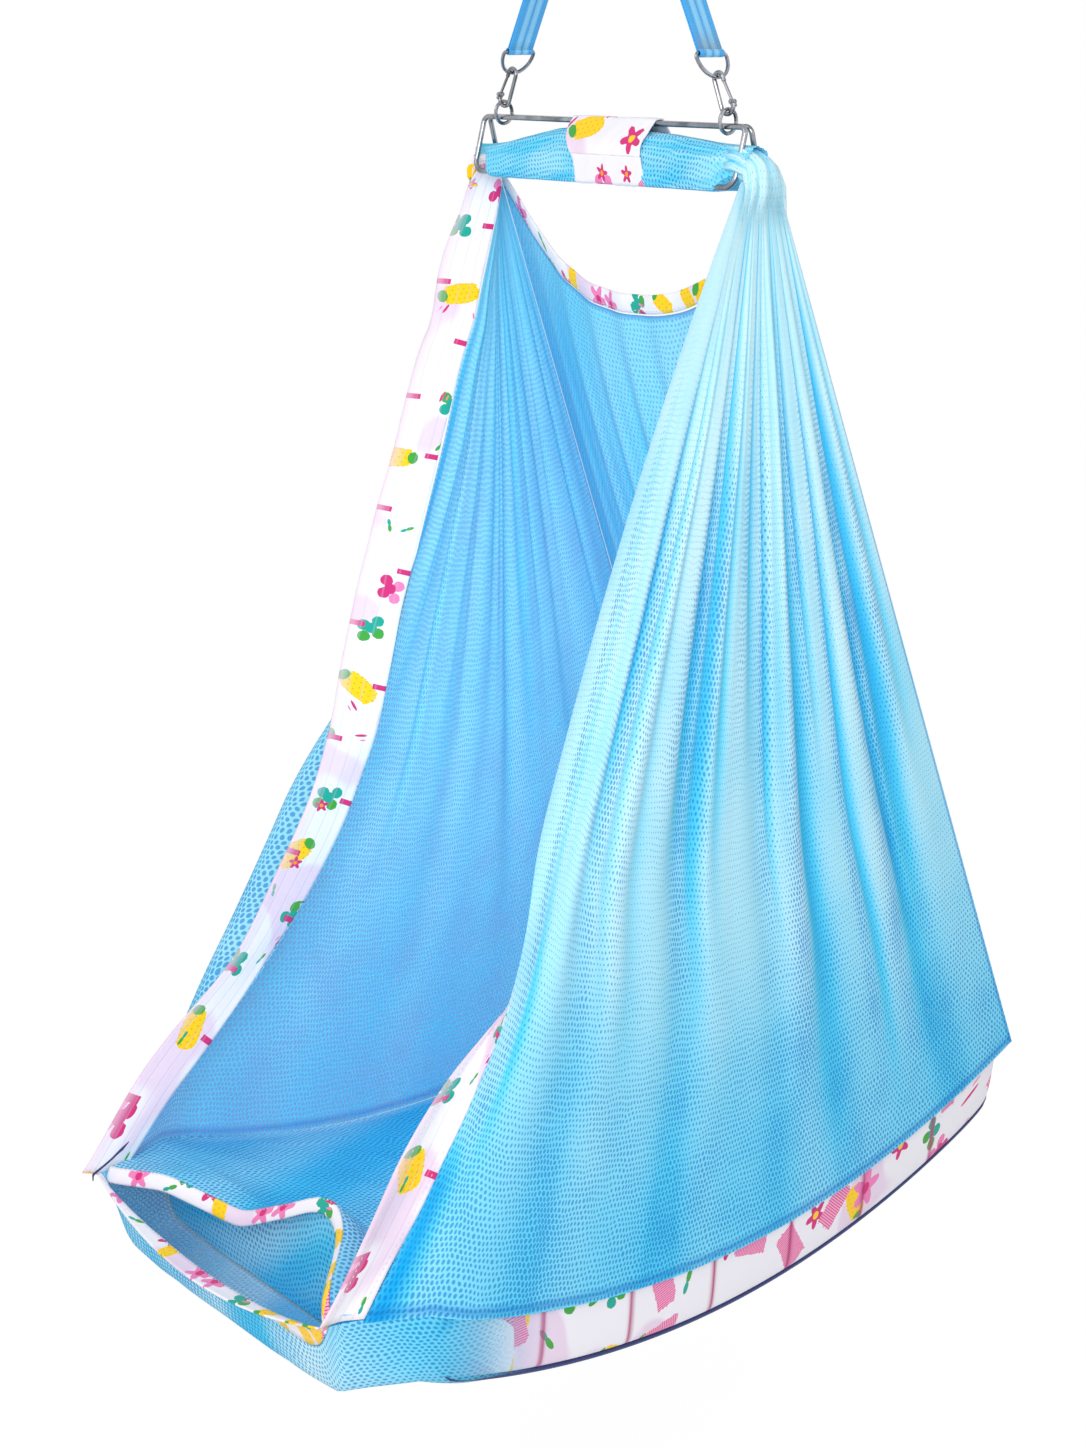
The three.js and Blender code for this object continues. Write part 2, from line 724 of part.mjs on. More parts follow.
// Crown of the mattress, and its top with the sewn channels across it
function mattressCrownHeight(x, y) {
  const a = Math.min(Math.abs(x / mattressHalfWidth), 1);
  const b = Math.min(Math.abs(y / mattressHalfLength), 1);
  const crown = mattressCrown * (1 - Math.pow(a, crownAcrossPower)) * (1 - Math.pow(b, crownAlongPower));
  return rimHeight(y) - channelDepth + crown;
}

function mattressTop(x, y) {
  const a = x / mattressHalfWidth;
  const b = y / mattressHalfLength;
  const dip = 1 - Math.abs(Math.sin(Math.PI * channelCount * (b + 1) / 2));
  return mattressCrownHeight(x, y) - channelDepth * dip * bowl(a) * bowl(b);
}

function mattressBottom(x, y) {
  const a = x / mattressHalfWidth;
  const b = y / mattressHalfLength;
  return rimHeight(y) - channelDepth - hemThickness - mattressThickness * bowl(a) * bowl(b);
}

// Closed pad between a top and a bottom height; its plan corners draw in
function pad(top, bottom, across, along) {
  const upper = [];
  const lower = [];
  across.forEach((u) => along.forEach((v) => {
    const a = lerp(-1, 1, u);
    const b = lerp(-1, 1, v);
    const x = a * (mattressHalfWidth - cornerDraw * Math.pow(Math.abs(b), wallPower));
    const y = b * (mattressHalfLength - cornerDraw * Math.pow(Math.abs(a), wallPower));
    upper.push(point(x, y, top(x, y)));
    lower.push(point(x, y, bottom(x, y)));
  }));
  return closedSlab(upper, lower, across.length, along.length);
}

const padAcross = [0, 0.015, 0.05, 0.12, 0.3, 0.5, 0.7, 0.88, 0.95, 0.985, 1];

const padEndShares = [0, 0.006, 0.02];

// Two samples in each channel and one on each seam, close together at the ends
function padAlong() {
  const seams = evenShares(2 * channelCount);
  return [...padEndShares, ...seams.slice(1, -1), ...padEndShares.map((share) => 1 - share).reverse()];
}

function mattress() {
  return pad(mattressTop, mattressBottom, padAcross, padAlong());
}

function mattressBase() {
  const top = (x, y) => mattressBottom(x, y) - clothGap;
  const bottom = (x, y) => {
    const full = bowl(x / mattressHalfWidth) * bowl(y / mattressHalfLength);
    return top(x, y) - netThickness / 2 - (baseThickness - netThickness) * full;
  };
  const along = padAlong().slice(1, -1);
  return pad(top, bottom, padAcross.slice(1, -1), along);
}

// Net sheet over the mattress, from the upper lip (v 0) to the far rim (v 1)
function topNetPlace(u, v) {
  const a = lerp(-1, 1, u);
  const lip = mouthEnd - upperLipInset * Math.pow(Math.sin(Math.PI * u), upperLipPower);
  const y = lerp(-lip, mattressHalfLength, v);
  const past = smooth(-y, bedEnd - mouthReach / 2, mouthEnd);
  const x = a * (rimHalfWidth(y) - netThickness - pocketSlack / 2);
  const over = mattressCrownHeight(x, y);
  const wave = upperLipWaveShare * Math.sin(2 * Math.PI * upperLipWaves * u);
  const lift = upperLipLift * past * Math.sin(Math.PI * u) * (1 + wave);
  return point(x, y, lerp(over, rimHeight(y) - netThickness, past) + netThickness + 2 * clothGap + lift);
}

const lipShares = [0, 0.03, 0.09, 0.17, 0.26, 0.35, 0.44, 0.53, 0.62, 0.71, 0.8, 0.88, 0.95, 1];
const topLipShare = lipTrimWidth / (bedLength + mouthReach - upperLipInset);

function bedTopNet() {
  const start = topLipShare + clothGap / (bedLength + mouthReach);
  const shares = [start, ...evenShares(14).slice(1)];
  return clothWall(topNetPlace, netThickness, lipShares, shares);
}

function upperLipTrim() {
  const surface = (u, v) => topNetPlace(u, v * topLipShare);
  return clothWall(surface, trimThickness, lipShares, evenShares(1));
}

// Navy tape tied round the open corner on the left, slanting across the entry trim's end
function cornerTie() {
  const fall = gatherHeight - rimHeight(-mouthEnd);
  const centre = sidePlace(-1, 0, 1 - tieTapeWidth / fall);
  const surface = (u, v) => {
    const slant = lerp(-tieTapeLength, tieTapeLength, u) / 2 * Math.SQRT1_2;
    const across = lerp(-tieTapeWidth, tieTapeWidth, v) / 2;
    const height = centre.z + slant + across;
    const edge = sidePlace(-1, 0, Math.min((gatherHeight - height) / fall, 1));
    return point(slant - centre.x, edge.y - trimThickness - tieTapeThickness, height);
  };
  return clothWall(surface, tieTapeThickness, evenShares(6), evenShares(1));
}

// Chain above the hanger
addPiece('hang_ring', hangRing(), steel);
const strapRing = addPiece('strap_ring', barRing(strapRingDrop, strapRingWire, 10), steel);
strapRing.rotation.x = Math.PI;
strapRing.position.z = strapBarHeight;
addPiece('sling_strap', slingStrap(), webbing).position.z = strapBarHeight;

[['left', Math.PI], ['right', 0]].forEach(([name, turn]) => {
  const half = new THREE.Group();
  half.position.z = strapBarHeight;
  half.rotation.z = turn;
  part.add(half);
  const leg = new THREE.Group();
  leg.rotation.y = -strapLean;
  half.add(leg);
  addPiece(`${name}_end_ring`, barRing(endRingDepth, endRingWire, 8), steel, leg).position.z = -strapLength;
  const hook = new THREE.Group();
  hook.position.z = -strapLength - endRingDepth;
  leg.add(hook);
  addPiece(`${name}_hook_body`, hookBody(), steel, hook);
  addPiece(`${name}_hook_gate`, hookGate(), steel, hook);
  addPiece(`${name}_gate_pin`, gatePin(), steel, hook);
  const eye = new THREE.TorusGeometry((eyeRingOuter - eyeRingWire) / 2, eyeRingWire / 2, 8, 24);
  const ring = addPiece(`${name}_eye_ring`, eye.rotateY(Math.PI / 2), steel, half);
  ring.position.set(eyeRingSide, 0, eyeRingCentre - strapBarHeight);
});

// Hanger, roll and tie band
addPiece('front_hanger_loop', placedLoop(-1, rodDiameter), steel);
addPiece('rear_hanger_loop', placedLoop(1, rodDiameter), steel);
addPiece('net_roll', netRoll(), skyNet);
addPiece('tie_band', tieBand(), printCloth);

// Tent
addPiece('left_side_net', sideNet(-1), skyNet);
addPiece('right_side_net', sideNet(1), skyNet);
addPiece('far_end_net', farNet(), skyNet);
addPiece('left_entry_trim', entryTrim(-1), printCloth);
addPiece('right_entry_trim', entryTrim(1), printCloth);
addPiece('scoop_trim', scoopTrim(), printCloth);

// Bed
addPiece('pocket_net', pocketNet(), skyNet);
addPiece('lower_lip_trim', lowerLipTrim(), printCloth);
addPiece('mattress', mattress(), printCloth);
addPiece('mattress_base', mattressBase(), navyCloth);
addPiece('bed_top_net', bedTopNet(), skyNet);
addPiece('upper_lip_trim', upperLipTrim(), printCloth);
addPiece('left_corner_tie', cornerTie(), navyCloth);

export default part;
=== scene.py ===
# Hanging baby cradle: a net tent on two steel loops over a quilted mattress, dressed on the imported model
import bpy
import math
import numpy as np
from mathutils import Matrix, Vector


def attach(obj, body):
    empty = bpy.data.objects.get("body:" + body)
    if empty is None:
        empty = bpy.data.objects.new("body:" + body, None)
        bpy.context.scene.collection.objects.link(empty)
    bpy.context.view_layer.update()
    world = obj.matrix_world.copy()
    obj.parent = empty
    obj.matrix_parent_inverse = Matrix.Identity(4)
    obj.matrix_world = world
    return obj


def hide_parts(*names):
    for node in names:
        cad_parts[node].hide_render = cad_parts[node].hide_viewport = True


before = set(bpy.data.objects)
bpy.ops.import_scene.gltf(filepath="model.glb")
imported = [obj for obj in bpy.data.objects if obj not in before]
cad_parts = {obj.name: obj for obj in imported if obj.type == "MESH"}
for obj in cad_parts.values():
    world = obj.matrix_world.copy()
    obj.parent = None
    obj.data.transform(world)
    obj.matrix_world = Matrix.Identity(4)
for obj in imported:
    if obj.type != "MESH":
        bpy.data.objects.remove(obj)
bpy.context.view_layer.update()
scene = bpy.context.scene
print("frame loaded")

# Camera, fitted to the photograph
shot = {
    "place": (1.4865, -1.4408, -0.2860), "forward": (-0.7040, 0.6432, -0.3012),
    "lens": 54.65, "sensor": 36.0,
}


def addObject(name, data, place=None, facing=None):
    made = bpy.data.objects.new(name, data)
    scene.collection.objects.link(made)
    if place:
        made.location = place
        made.rotation_mode = "QUATERNION"
        made.rotation_quaternion = Vector(facing).to_track_quat("-Z", "Y")
    return made


def addCamera():
    data = bpy.data.cameras.new("photoCamera")
    data.sensor_width = shot["sensor"]
    data.lens = shot["lens"]
    scene.camera = addObject("photoCamera", data, shot["place"], shot["forward"])


addCamera()

# Numbers


def mix(a, b, share):
    return a + (b - a) * share


def smoothStep(x, low, high):
    share = np.clip((x - low) / (high - low), 0.0, 1.0)
    return share * share * (3.0 - 2.0 * share)


def fromMiddle(u):
    # Turns a share from 0 to 1 into one from -1 to 1
    return mix(-1.0, 1.0, u)


def window(x, rise, fall):
    # Comes up over one range and goes down over another
    return smoothStep(x, *rise) * (1 - smoothStep(x, *fall))


def hump(x, centre, width):
    return np.exp(-((x - centre) / width) ** 2)


def curve(t, shares, values):
    # Values at shares of a length, joined by a softened line
    fine = np.linspace(0, 1, 201)
    kernel = np.hanning(23)
    rough = np.pad(np.interp(fine, shares, values), 11, "edge")
    return np.interp(t, fine, np.convolve(rough, kernel / kernel.sum(), "valid"))


def ripple(x, y, seed):
    # Smooth repeatable waviness from a few sines, about -1 to 1
    rng = np.random.default_rng(seed)
    total = 0.0 * (x + y)
    for k in range(5):
        fx, fy = rng.uniform(0.4, 1.0, 2) * (k + 1)
        total = total + np.sin(fx * x + fy * y + rng.uniform(0, 6.28)) / (k + 1)
    return total / 1.9


# Nodes: bench holds the tree that is being wired
bench = {"tree": None}


def link(value, socket):
    # Joins a node, a wire or a plain value to an input
    if isinstance(value, Wire):
        value = value.socket
    if isinstance(value, bpy.types.Node):
        value = value.outputs[0]
    if isinstance(value, bpy.types.NodeSocket):
        bench["tree"].links.new(value, socket)
    else:
        socket.default_value = value


def make(kind, inputs=(), **settings):
    node = bench["tree"].nodes.new(kind)
    for key, value in settings.items():
        setattr(node, key, value)
    for key, value in dict(inputs).items():
        link(value, node.inputs[key])
    return node


def calc(operation, *values):
    return Wire(make("ShaderNodeMath", enumerate(values), operation=operation))


class Wire:
    # A node's output that can be added, scaled and compared, each by one math node
    def __init__(self, node, output=0):
        self.socket = node.outputs[output]

    def __add__(self, other):
        return calc("ADD", self, other)

    def __sub__(self, other):
        return calc("SUBTRACT", self, other)

    def __rsub__(self, other):
        return calc("SUBTRACT", other, self)

    def __mul__(self, other):
        return calc("MULTIPLY", self, other)

    def __truediv__(self, other):
        return calc("DIVIDE", self, other)

    def __gt__(self, other):
        return calc("GREATER_THAN", self, other)

    def __lt__(self, other):
        return calc("LESS_THAN", self, other)

    def __abs__(self):
        return calc("ABSOLUTE", self)


def vec(operation, *values):
    node = make("ShaderNodeVectorMath", enumerate(values), operation=operation)
    return Wire(node, "Value" if operation == "LENGTH" else "Vector")


def remap(value, low, high, toLow=0.0, toHigh=1.0):
    given = enumerate((value, low, high, toLow, toHigh))
    return Wire(make("ShaderNodeMapRange", given, interpolation_type="SMOOTHSTEP"))


def blend(share, a, b):
    return Wire(make("ShaderNodeMix", {0: share, 6: a, 7: b}, data_type="RGBA"), 2)


def noise(vector, scale, detail=2.0, output=0):
    return Wire(make("ShaderNodeTexNoise", {"Vector": vector, "Scale": scale, "Detail": detail}), output)


def channels(kind, value):
    node = make(kind, {0: value})
    return [Wire(node, k) for k in range(3)]


def uvMap():
    return Wire(make("ShaderNodeUVMap", uv_map="flat"))


def attribute(name):
    return Wire(make("ShaderNodeAttribute", attribute_name=name), "Fac")


def objectSpace():
    return Wire(make("ShaderNodeTexCoord"), "Object")


def colour(r, g, b):
    # A colour as written on screen, 0 to 255, turned to linear light
    def one(c):
        c = c / 255.0
        return c / 12.92 if c <= 0.04045 else ((c + 0.055) / 1.055) ** 2.4
    return (one(r), one(g), one(b), 1.0)


def ramp(value, stops):
    node = make("ShaderNodeValToRGB", {0: value})
    elements = node.color_ramp.elements
    while len(elements) < len(stops):
        elements.new(0.5)
    for element, (place, shade) in zip(elements, stops):
        element.position = place
        element.color = shade
    return Wire(node)


def startMaterial(name, roughness, **sockets):
    material = bpy.data.materials.new(name)
    material.use_nodes = True
    bench["tree"] = material.node_tree
    inputs = material.node_tree.nodes["Principled BSDF"].inputs
    inputs["Roughness"].default_value = roughness
    for key, value in sockets.items():
        inputs[key.replace("_", " ")].default_value = value
    return material, inputs


def dress(inputs, shade, height, strength, distance):
    link(shade, inputs["Base Color"])
    link(make("ShaderNodeBump", {"Strength": strength, "Distance": distance, "Height": height}), inputs["Normal"])


# Meshes


def addMesh(name, points, faces, material, smooth=True):
    mesh = bpy.data.meshes.new(name)
    mesh.from_pydata([tuple(p) for p in points], [], [tuple(f) for f in faces])
    mesh.materials.append(material)
    if smooth:
        mesh.polygons.foreach_set("use_smooth", [True] * len(mesh.polygons))
    return addObject(name, mesh)


def layFlat(piece, flat):
    # UV map in metres from one place for each vertex
    mesh = piece.data
    corner = np.empty(len(mesh.loops), int)
    mesh.loops.foreach_get("vertex_index", corner)
    mesh.uv_layers.new(name="flat").uv.foreach_set("vector", flat[corner].ravel().astype(np.float32))


def paintVertices(piece, layers):
    for key, values in layers.items():
        layer = piece.data.attributes.new(key, "FLOAT", "POINT")
        layer.data.foreach_set("value", values.ravel().astype(np.float32))


def cellQuads(index):
    return np.stack([index[:-1, :-1], index[1:, :-1], index[1:, 1:], index[:-1, 1:]], -1).reshape(-1, 4)


def pointList(*axes):
    return np.stack(axes, -1).reshape(-1, len(axes))


def spanFrom(points, axis, middle):
    # Distance along the sheet from its middle line, in metres
    steps = np.linalg.norm(np.diff(points, axis=axis), axis=-1)
    pad = [(0, 0), (0, 0)]
    pad[axis] = (1, 0)
    total = np.cumsum(np.pad(steps, pad), axis=axis)
    return total - np.take(total, [middle], axis=axis)


def gridPiece(name, place, uShares, vShares, cloth, flatSize, paint=None):
    # Sheet from place(u, v), with shares given as a count or a list. Its UV map is in metres: u and v scaled by
    # flatSize, or the sheet's own lengths times flatSize if that is one number. Paint gives named vertex values
    spread = [np.linspace(0, 1, given) if isinstance(given, int) else given for given in (uShares, vShares)]
    u, v = np.meshgrid(*spread, indexing="ij")
    x, y, z = place(u, v)
    index = np.arange(u.size).reshape(u.shape)
    piece = addMesh(name, pointList(x, y, z), cellQuads(index), finish[cloth])
    if isinstance(flatSize, tuple):
        layFlat(piece, pointList(u * flatSize[0], v * flatSize[1]))
    else:
        grid = np.stack([x, y, z], -1)
        layFlat(piece, pointList(flatSize * spanFrom(grid, 0, len(u) // 2), flatSize * spanFrom(grid, 1, 0)))
    if paint:
        layers = {"veil": 1.0, "seam": 0.0, **paint(u, v)}
        for key in ("fold", "seam"):
            layers[key] = np.clip(layers[key], 0, 1)
        paintVertices(piece, {key: np.broadcast_to(values, u.shape) for key, values in layers.items()})
    return piece


def applyModifiers(piece):
    graph = bpy.context.evaluated_depsgraph_get()
    made = bpy.data.meshes.new_from_object(piece.evaluated_get(graph))
    piece.modifiers.clear()
    piece.data = made
    return piece


def thicken(piece, thickness):
    wall = piece.modifiers.new("wall", "SOLIDIFY")
    wall.thickness = thickness
    wall.offset = 0.0
    return applyModifiers(piece)


def finishPiece(piece, body, slot, *replaced):
    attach(piece, body)
    if replaced:
        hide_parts(*replaced)
    return piece


def hang(piece, slot, node, flat, held, rest, **more):
    finishPiece(piece, "cradle", slot, node)
    print(piece.name, "area", round(sum(p.area for p in piece.data.polygons), 4))


# Geometry Nodes: wire along a path, and stitches along a path


def startTree(name, sizes):
    tree = bpy.data.node_groups.new(name, "GeometryNodeTree")
    tree.interface.new_socket("Geometry", in_out="INPUT", socket_type="NodeSocketGeometry")
    for key, value in sizes.items():
        kind = "NodeSocketInt" if isinstance(value, int) else "NodeSocketFloat"
        tree.interface.new_socket(key, in_out="INPUT", socket_type=kind).default_value = value
    tree.interface.new_socket("Material", in_out="INPUT", socket_type="NodeSocketMaterial")
    tree.interface.new_socket("Geometry", in_out="OUTPUT", socket_type="NodeSocketGeometry")
    bench["tree"] = tree
    return tree, make("NodeGroupInput").outputs


def endTree(tree, given, shape):
    real = make("GeometryNodeRealizeInstances", {"Geometry": shape})
    soft = make("GeometryNodeSetShadeSmooth", {"Geometry": real})
    paint = make("GeometryNodeSetMaterial", {"Geometry": soft, "Material": given["Material"]})
    make("NodeGroupOutput", {"Geometry": paint})
    return tree


def wireTree():
    tree, given = startTree("wireAlongPath", {"Radius": 0.0025, "Sides": 20})
    path = make("GeometryNodeMeshToCurve", {"Mesh": given["Geometry"]})
    ring = make("GeometryNodeCurvePrimitiveCircle", {"Resolution": given["Sides"], "Radius": given["Radius"]})
    sweep = make("GeometryNodeCurveToMesh", {"Curve": path, "Profile Curve": ring, "Fill Caps": True})
    return endTree(tree, given, sweep)


def stitchTree():
    sizes = {"Pitch": 0.005, "Length": 0.003, "Width": 0.0008, "Jitter": 0.2}
    tree, given = startTree("stitchesAlongPath", sizes)
    path = make("GeometryNodeMeshToCurve", {"Mesh": given["Geometry"]})
    spaced = make("GeometryNodeResampleCurve", {"Curve": path, "Length": given["Pitch"]}, mode="LENGTH")
    turn = make("FunctionNodeAlignEulerToVector", {"Vector": make("GeometryNodeInputTangent")}, axis="X")
    bead = make("GeometryNodeMeshUVSphere", {"Segments": 6, "Rings": 4, "Radius": 0.5})
    size = make("ShaderNodeCombineXYZ", {0: given["Length"], 1: given["Width"], 2: given["Width"]})
    lowest = calc("SUBTRACT", 1.0, given["Jitter"])
    vary = make("FunctionNodeRandomValue", {2: lowest, 3: 1.0, "Seed": 7}, data_type="FLOAT")
    scaled = make("ShaderNodeVectorMath", {0: size, "Scale": Wire(vary, 1)}, operation="SCALE")
    put = make("GeometryNodeInstanceOnPoints", {"Points": spaced, "Instance": bead, "Rotation": turn,
                                                "Scale": scaled})
    return endTree(tree, given, put)


wireNodes = wireTree()
stitchNodes = stitchTree()


def runTree(name, tree, path, cloth, closed=False, **sizes):
    # One mesh from a tree that runs along one path, or along several of equal length
    points, edges = np.array(path), []
    count = points.shape[-2]
    for start in range(0, points.size // 3, count):
        edges += [(start + i, start + (i + 1) % count) for i in range(count if closed else count - 1)]
    mesh = bpy.data.meshes.new(name)
    mesh.from_pydata([tuple(p) for p in points.reshape(-1, 3)], edges, [])
    piece = addObject(name, mesh)
    modifier = piece.modifiers.new("tree", "NODES")
    modifier.node_group = tree
    given = {"Material": finish[cloth], **sizes}
    for item in tree.interface.items_tree:
        if item.in_out == "INPUT" and item.name in given:
            modifier[item.identifier] = given[item.name]
    applyModifiers(piece)
    if not piece.data.materials:
        piece.data.materials.append(finish[cloth])
    return piece


# Materials
netLook = {
    "pitch": 0.0051, "stretch": 1.35, "wobble": 0.010, "holeSize": 0.335, "holeEdge": 0.07, "holeShade": 0.72,
    "holeClear": 0.13,
    # Valley is painted shade for the net's folds, ridge a painted highlight, slope the mid blue between them
    "valley": colour(14, 168, 234), "slope": colour(92, 210, 245), "ridgeHighlight": colour(206, 243, 251),
    # Hole is painted shade: the holes are coloured dark blue for the shade seen through them
    "hole": colour(12, 134, 212), "seam": colour(22, 120, 200),
}


def hexDistance(uv, pitch, stretch):
    # Distance to the nearest hole centre of a staggered net, in pitches
    tall = math.sqrt(3.0) * stretch
    scaled = vec("MULTIPLY", uv, (1.0 / pitch, 1.0 / (pitch * tall), 0.0))
    found = []
    for shift in (0.0, 0.5):
        moved = vec("FRACTION", vec("ADD", scaled, (shift, shift, 0.0)))
        local = vec("SUBTRACT", moved, (0.5, 0.5, 0.0))
        found.append(vec("LENGTH", vec("MULTIPLY", local, (1.0, tall / stretch ** 1.4, 0.0))))
    return calc("MINIMUM", *found)


def netMaterial():
    material, inputs = startMaterial("skyNet", 0.9, Specular_IOR_Level=0.08)
    look, uv = netLook, uvMap()
    shift = vec("SUBTRACT", noise(uv, 34.0, 2.0, "Color"), (0.5, 0.5, 0.0))
    shift = vec("MULTIPLY", shift, (look["wobble"], look["wobble"], 0.0))
    away = hexDistance(vec("ADD", uv, shift), look["pitch"], look["stretch"])
    size = (1.0 - attribute("dense")) * (noise(uv, 14.0) * 0.3 + (look["holeSize"] - 0.15))
    hole = remap(away, size + look["holeEdge"], size - look["holeEdge"])
    # Painted shade and highlight: the fold value painted on each mesh picks saturated dark blue in valleys and pale
    # blue on ridges
    shade = ramp(attribute("fold"), [(0.0, look["valley"]), (0.38, look["slope"]), (0.85, look["ridgeHighlight"])])
    shade = blend(remap(noise(uv, 5.0, 4.0), 0.35, 0.7) * 0.3, shade, look["slope"])
    yarn = noise(uv, 900.0, 1.0)
    shade = blend(yarn * 0.1, shade, look["valley"])
    # Painted shade: the holes are darkened for the shade behind them, and stay mostly opaque
    shade = blend(hole * look["holeShade"], shade, look["hole"])
    # Dark seam lines: real hems, and on the pocket painted crease shadows
    shade = blend(attribute("seam") * 0.75, shade, look["seam"])
    link((1.0 - hole * look["holeClear"]) * attribute("veil"), inputs["Alpha"])
    dress(inputs, shade, away + yarn * 0.4, 0.35, 0.0015)
    return material


printLook = {
    # Blush is the cloth's own faint tint, and also the painted shade along the entry trim's free edge
    "ground": colour(242, 239, 246), "blushAndShade": colour(232, 208, 232), "magenta": colour(214, 44, 122),
    "pink": colour(240, 128, 186), "rose": colour(246, 168, 206), "yellow": colour(254, 209, 22),
    "orange": colour(246, 160, 30), "teal": colour(24, 168, 148), "green": colour(66, 166, 62),
    "grooveShade": colour(206, 190, 214), "channel": colour(176, 38, 110),
    "largePerMetre": 15.0, "dashPerMetre": 7.4, "dashShare": 0.045, "weavePerMetre": 5200.0,
    "berries": [(0.0, 0.55), (-0.5, -0.1), (0.5, -0.15), (0.05, -0.75), (0.05, -0.05)],
}


def motifLayer(base, uv, perMetre, shapes):
    # Scattered motifs, one for each cell, picked and turned by the cell's own random colour.
    # A shape gives its kind, the range of picks that show it, its size and its two colours
    cell = make("ShaderNodeTexVoronoi", {"Scale": perMetre, "Randomness": 0.75, "Vector": uv},
                voronoi_dimensions="2D")
    turn, pick = channels("ShaderNodeSeparateColor", Wire(cell, "Color"))[:2]
    fromCell = vec("SUBTRACT", uv, Wire(cell, "Position"))
    local = Wire(make("ShaderNodeVectorRotate", {"Vector": fromCell, "Angle": turn * 6.283},
                      rotation_type="Z_AXIS"))
    x, y = channels("ShaderNodeSeparateXYZ", local)[:2]
    away = vec("LENGTH", local)
    angle = calc("ARCTAN2", y, x)
    rough = (noise(uv, 260.0) - 0.5) * 0.35

    def inside(distance):
        return (distance + rough) < 1.0

    def oval(size, aside, up, wide, tall):
        moved = vec("SUBTRACT", local, (size * aside, size * up, 0.0))
        return vec("LENGTH", vec("MULTIPLY", moved, (1 / (size * wide), 1 / (size * tall), 0.0)))

    def block(size, tall):
        return calc("MAXIMUM", abs(x / size), abs(y / (size * tall)))

    for kind, low, high, size, main, second in shapes:
        here = (pick > low) * (pick < high)
        if kind == "flower":
            petals = calc("COSINE", angle * 5.0) * (0.26 * size) + 0.74 * size
            marks = [(inside(away / petals), main), (inside(away / (0.28 * size)), second)]
        if kind == "leaf":
            marks = [(inside(oval(size, 0.5, 0.2, 0.62, 0.26)), main),
                     (inside(oval(size, -0.5, 0.2, 0.55, 0.24)), second)]
        if kind == "dash":
            marks = [(inside(oval(size, 0.0, 0.0, 1.0, 0.22)), main),
                     (inside(oval(size, 0.2, 0.8, 0.5, 0.14)), second)]
        if kind == "patch":
            bent = inside(block(size, 0.58) * 0.5 + oval(size, 0.0, 0.0, 1.0, 0.58) * 0.5)
            dots = hexDistance(local, 0.0062, 1.0) < 0.14
            marks = [(bent, main), (bent * dots, second), (inside(oval(size, 0.98, 0.0, 0.26, 0.34)), "green")]
        if kind == "berries":
            marks = [(inside(oval(size, aside, up, 0.36, 0.36)), second if spot % 2 else main)
                     for spot, (aside, up) in enumerate(printLook["berries"])]
        if kind == "stripes":
            box = inside(block(size, 0.6))
            marks = [(box, second), (box * (calc("SINE", x * 2600.0) > 0.4), main)]
        for mask, shade in marks:
            base = blend(mask * here, base, printLook[shade])
    return base


def printMaterial(name, dashWidth=0.0, quilted=False, crowd=30.0, dense=0.0):
    # White cotton with a scattered print. DashWidth is the width of a trim with dashes along its edges,
    # crowd is the number of small motifs in a metre and dense the share of patches among them
    material, inputs = startMaterial(name, 0.8, Sheen_Weight=0.15, Specular_IOR_Level=0.3)
    look, uv = printLook, uvMap()
    wash = remap(noise(uv, 9.0, 1.0), 0.55, 0.6)
    base = blend(wash * 0.8, look["ground"], look["blushAndShade"])
    striped, patched = ((0.27, 0.36), (0.36, 0.46)) if quilted else ((0.36, 0.46), (0.27, 0.36))
    base = motifLayer(base, uv, look["largePerMetre"], [
        ("patch", 0.0, 0.12, 0.020, "yellow", "orange"),
        ("berries", 0.14, 0.27, 0.017, "teal", "green"),
        ("patch", *patched, 0.020, "yellow", "orange"),
        ("stripes", *striped, 0.017, "magenta", "rose"),
        ("flower", 0.46, 0.58, 0.015, "magenta", "yellow"),
        ("berries", 0.58, 0.7, 0.017, "magenta", "pink"),
    ])
    base = motifLayer(base, vec("ADD", uv, (3.17, 1.41, 0.0)), crowd, [
        ("flower", 0.0, 0.12, 0.22 / crowd, "magenta", "orange"),
        ("leaf", 0.12, 0.22, 0.20 / crowd, "green", "teal"),
        ("patch", 0.28, 0.28 + 0.1 * dense, 0.34 / crowd, "yellow", "orange"),
        ("flower", 0.38, 0.38 + 0.1 * dense, 0.34 / crowd, "pink", "magenta"),
        ("dash", 0.5, 0.6, 0.20 / crowd, "magenta", "pink"),
        ("stripes", 0.62, 0.62 + 0.2 * dense, 0.36 / crowd, "magenta", "rose"),
        ("berries", 0.84, 0.84 + 0.14 * dense, 0.34 / crowd, "teal", "green"),
    ])
    across, along = channels("ShaderNodeSeparateXYZ", uv)[:2]
    grooves = 0.0
    if dashWidth:
        share = across / dashWidth
        centred = abs(share - 0.5)
        pace = calc("FRACT", along * look["dashPerMetre"] + (across > dashWidth / 2) * 0.5)
        base = blend((pace < look["dashShare"]) * (centred > 0.2), base, look["magenta"])
        # Painted shade: the trim darkens to lilac towards its free edge, and to grey-lilac along its pleat lines
        base = blend(remap(share, 0.3, 0.0, 0.0, 0.55), base, look["blushAndShade"])
        grooves = remap(calc("MINIMUM", centred, abs(centred - 0.27)), 0.0, 0.035)
        base = blend((1.0 - grooves) * 0.22, base, look["grooveShade"])
    if quilted:
        base = blend(attribute("seam"), base, look["channel"])
    weave = calc("SINE", across * look["weavePerMetre"]) * calc("SINE", along * look["weavePerMetre"])
    crease = noise(vec("MULTIPLY", uv, (1.0, 0.35, 0.0)), 60.0, 4.0)
    dress(inputs, base, weave * 0.1 + (crease + grooves), 0.3, 0.0012)
    return material


def navyMaterial():
    material, inputs = startMaterial("navyCloth", 0.75, Sheen_Weight=0.2)
    grain = noise(objectSpace(), 420.0)
    dress(inputs, ramp(grain, [(0.3, colour(18, 30, 84)), (0.7, colour(36, 54, 124))]), grain, 0.3, 0.0006)
    return material


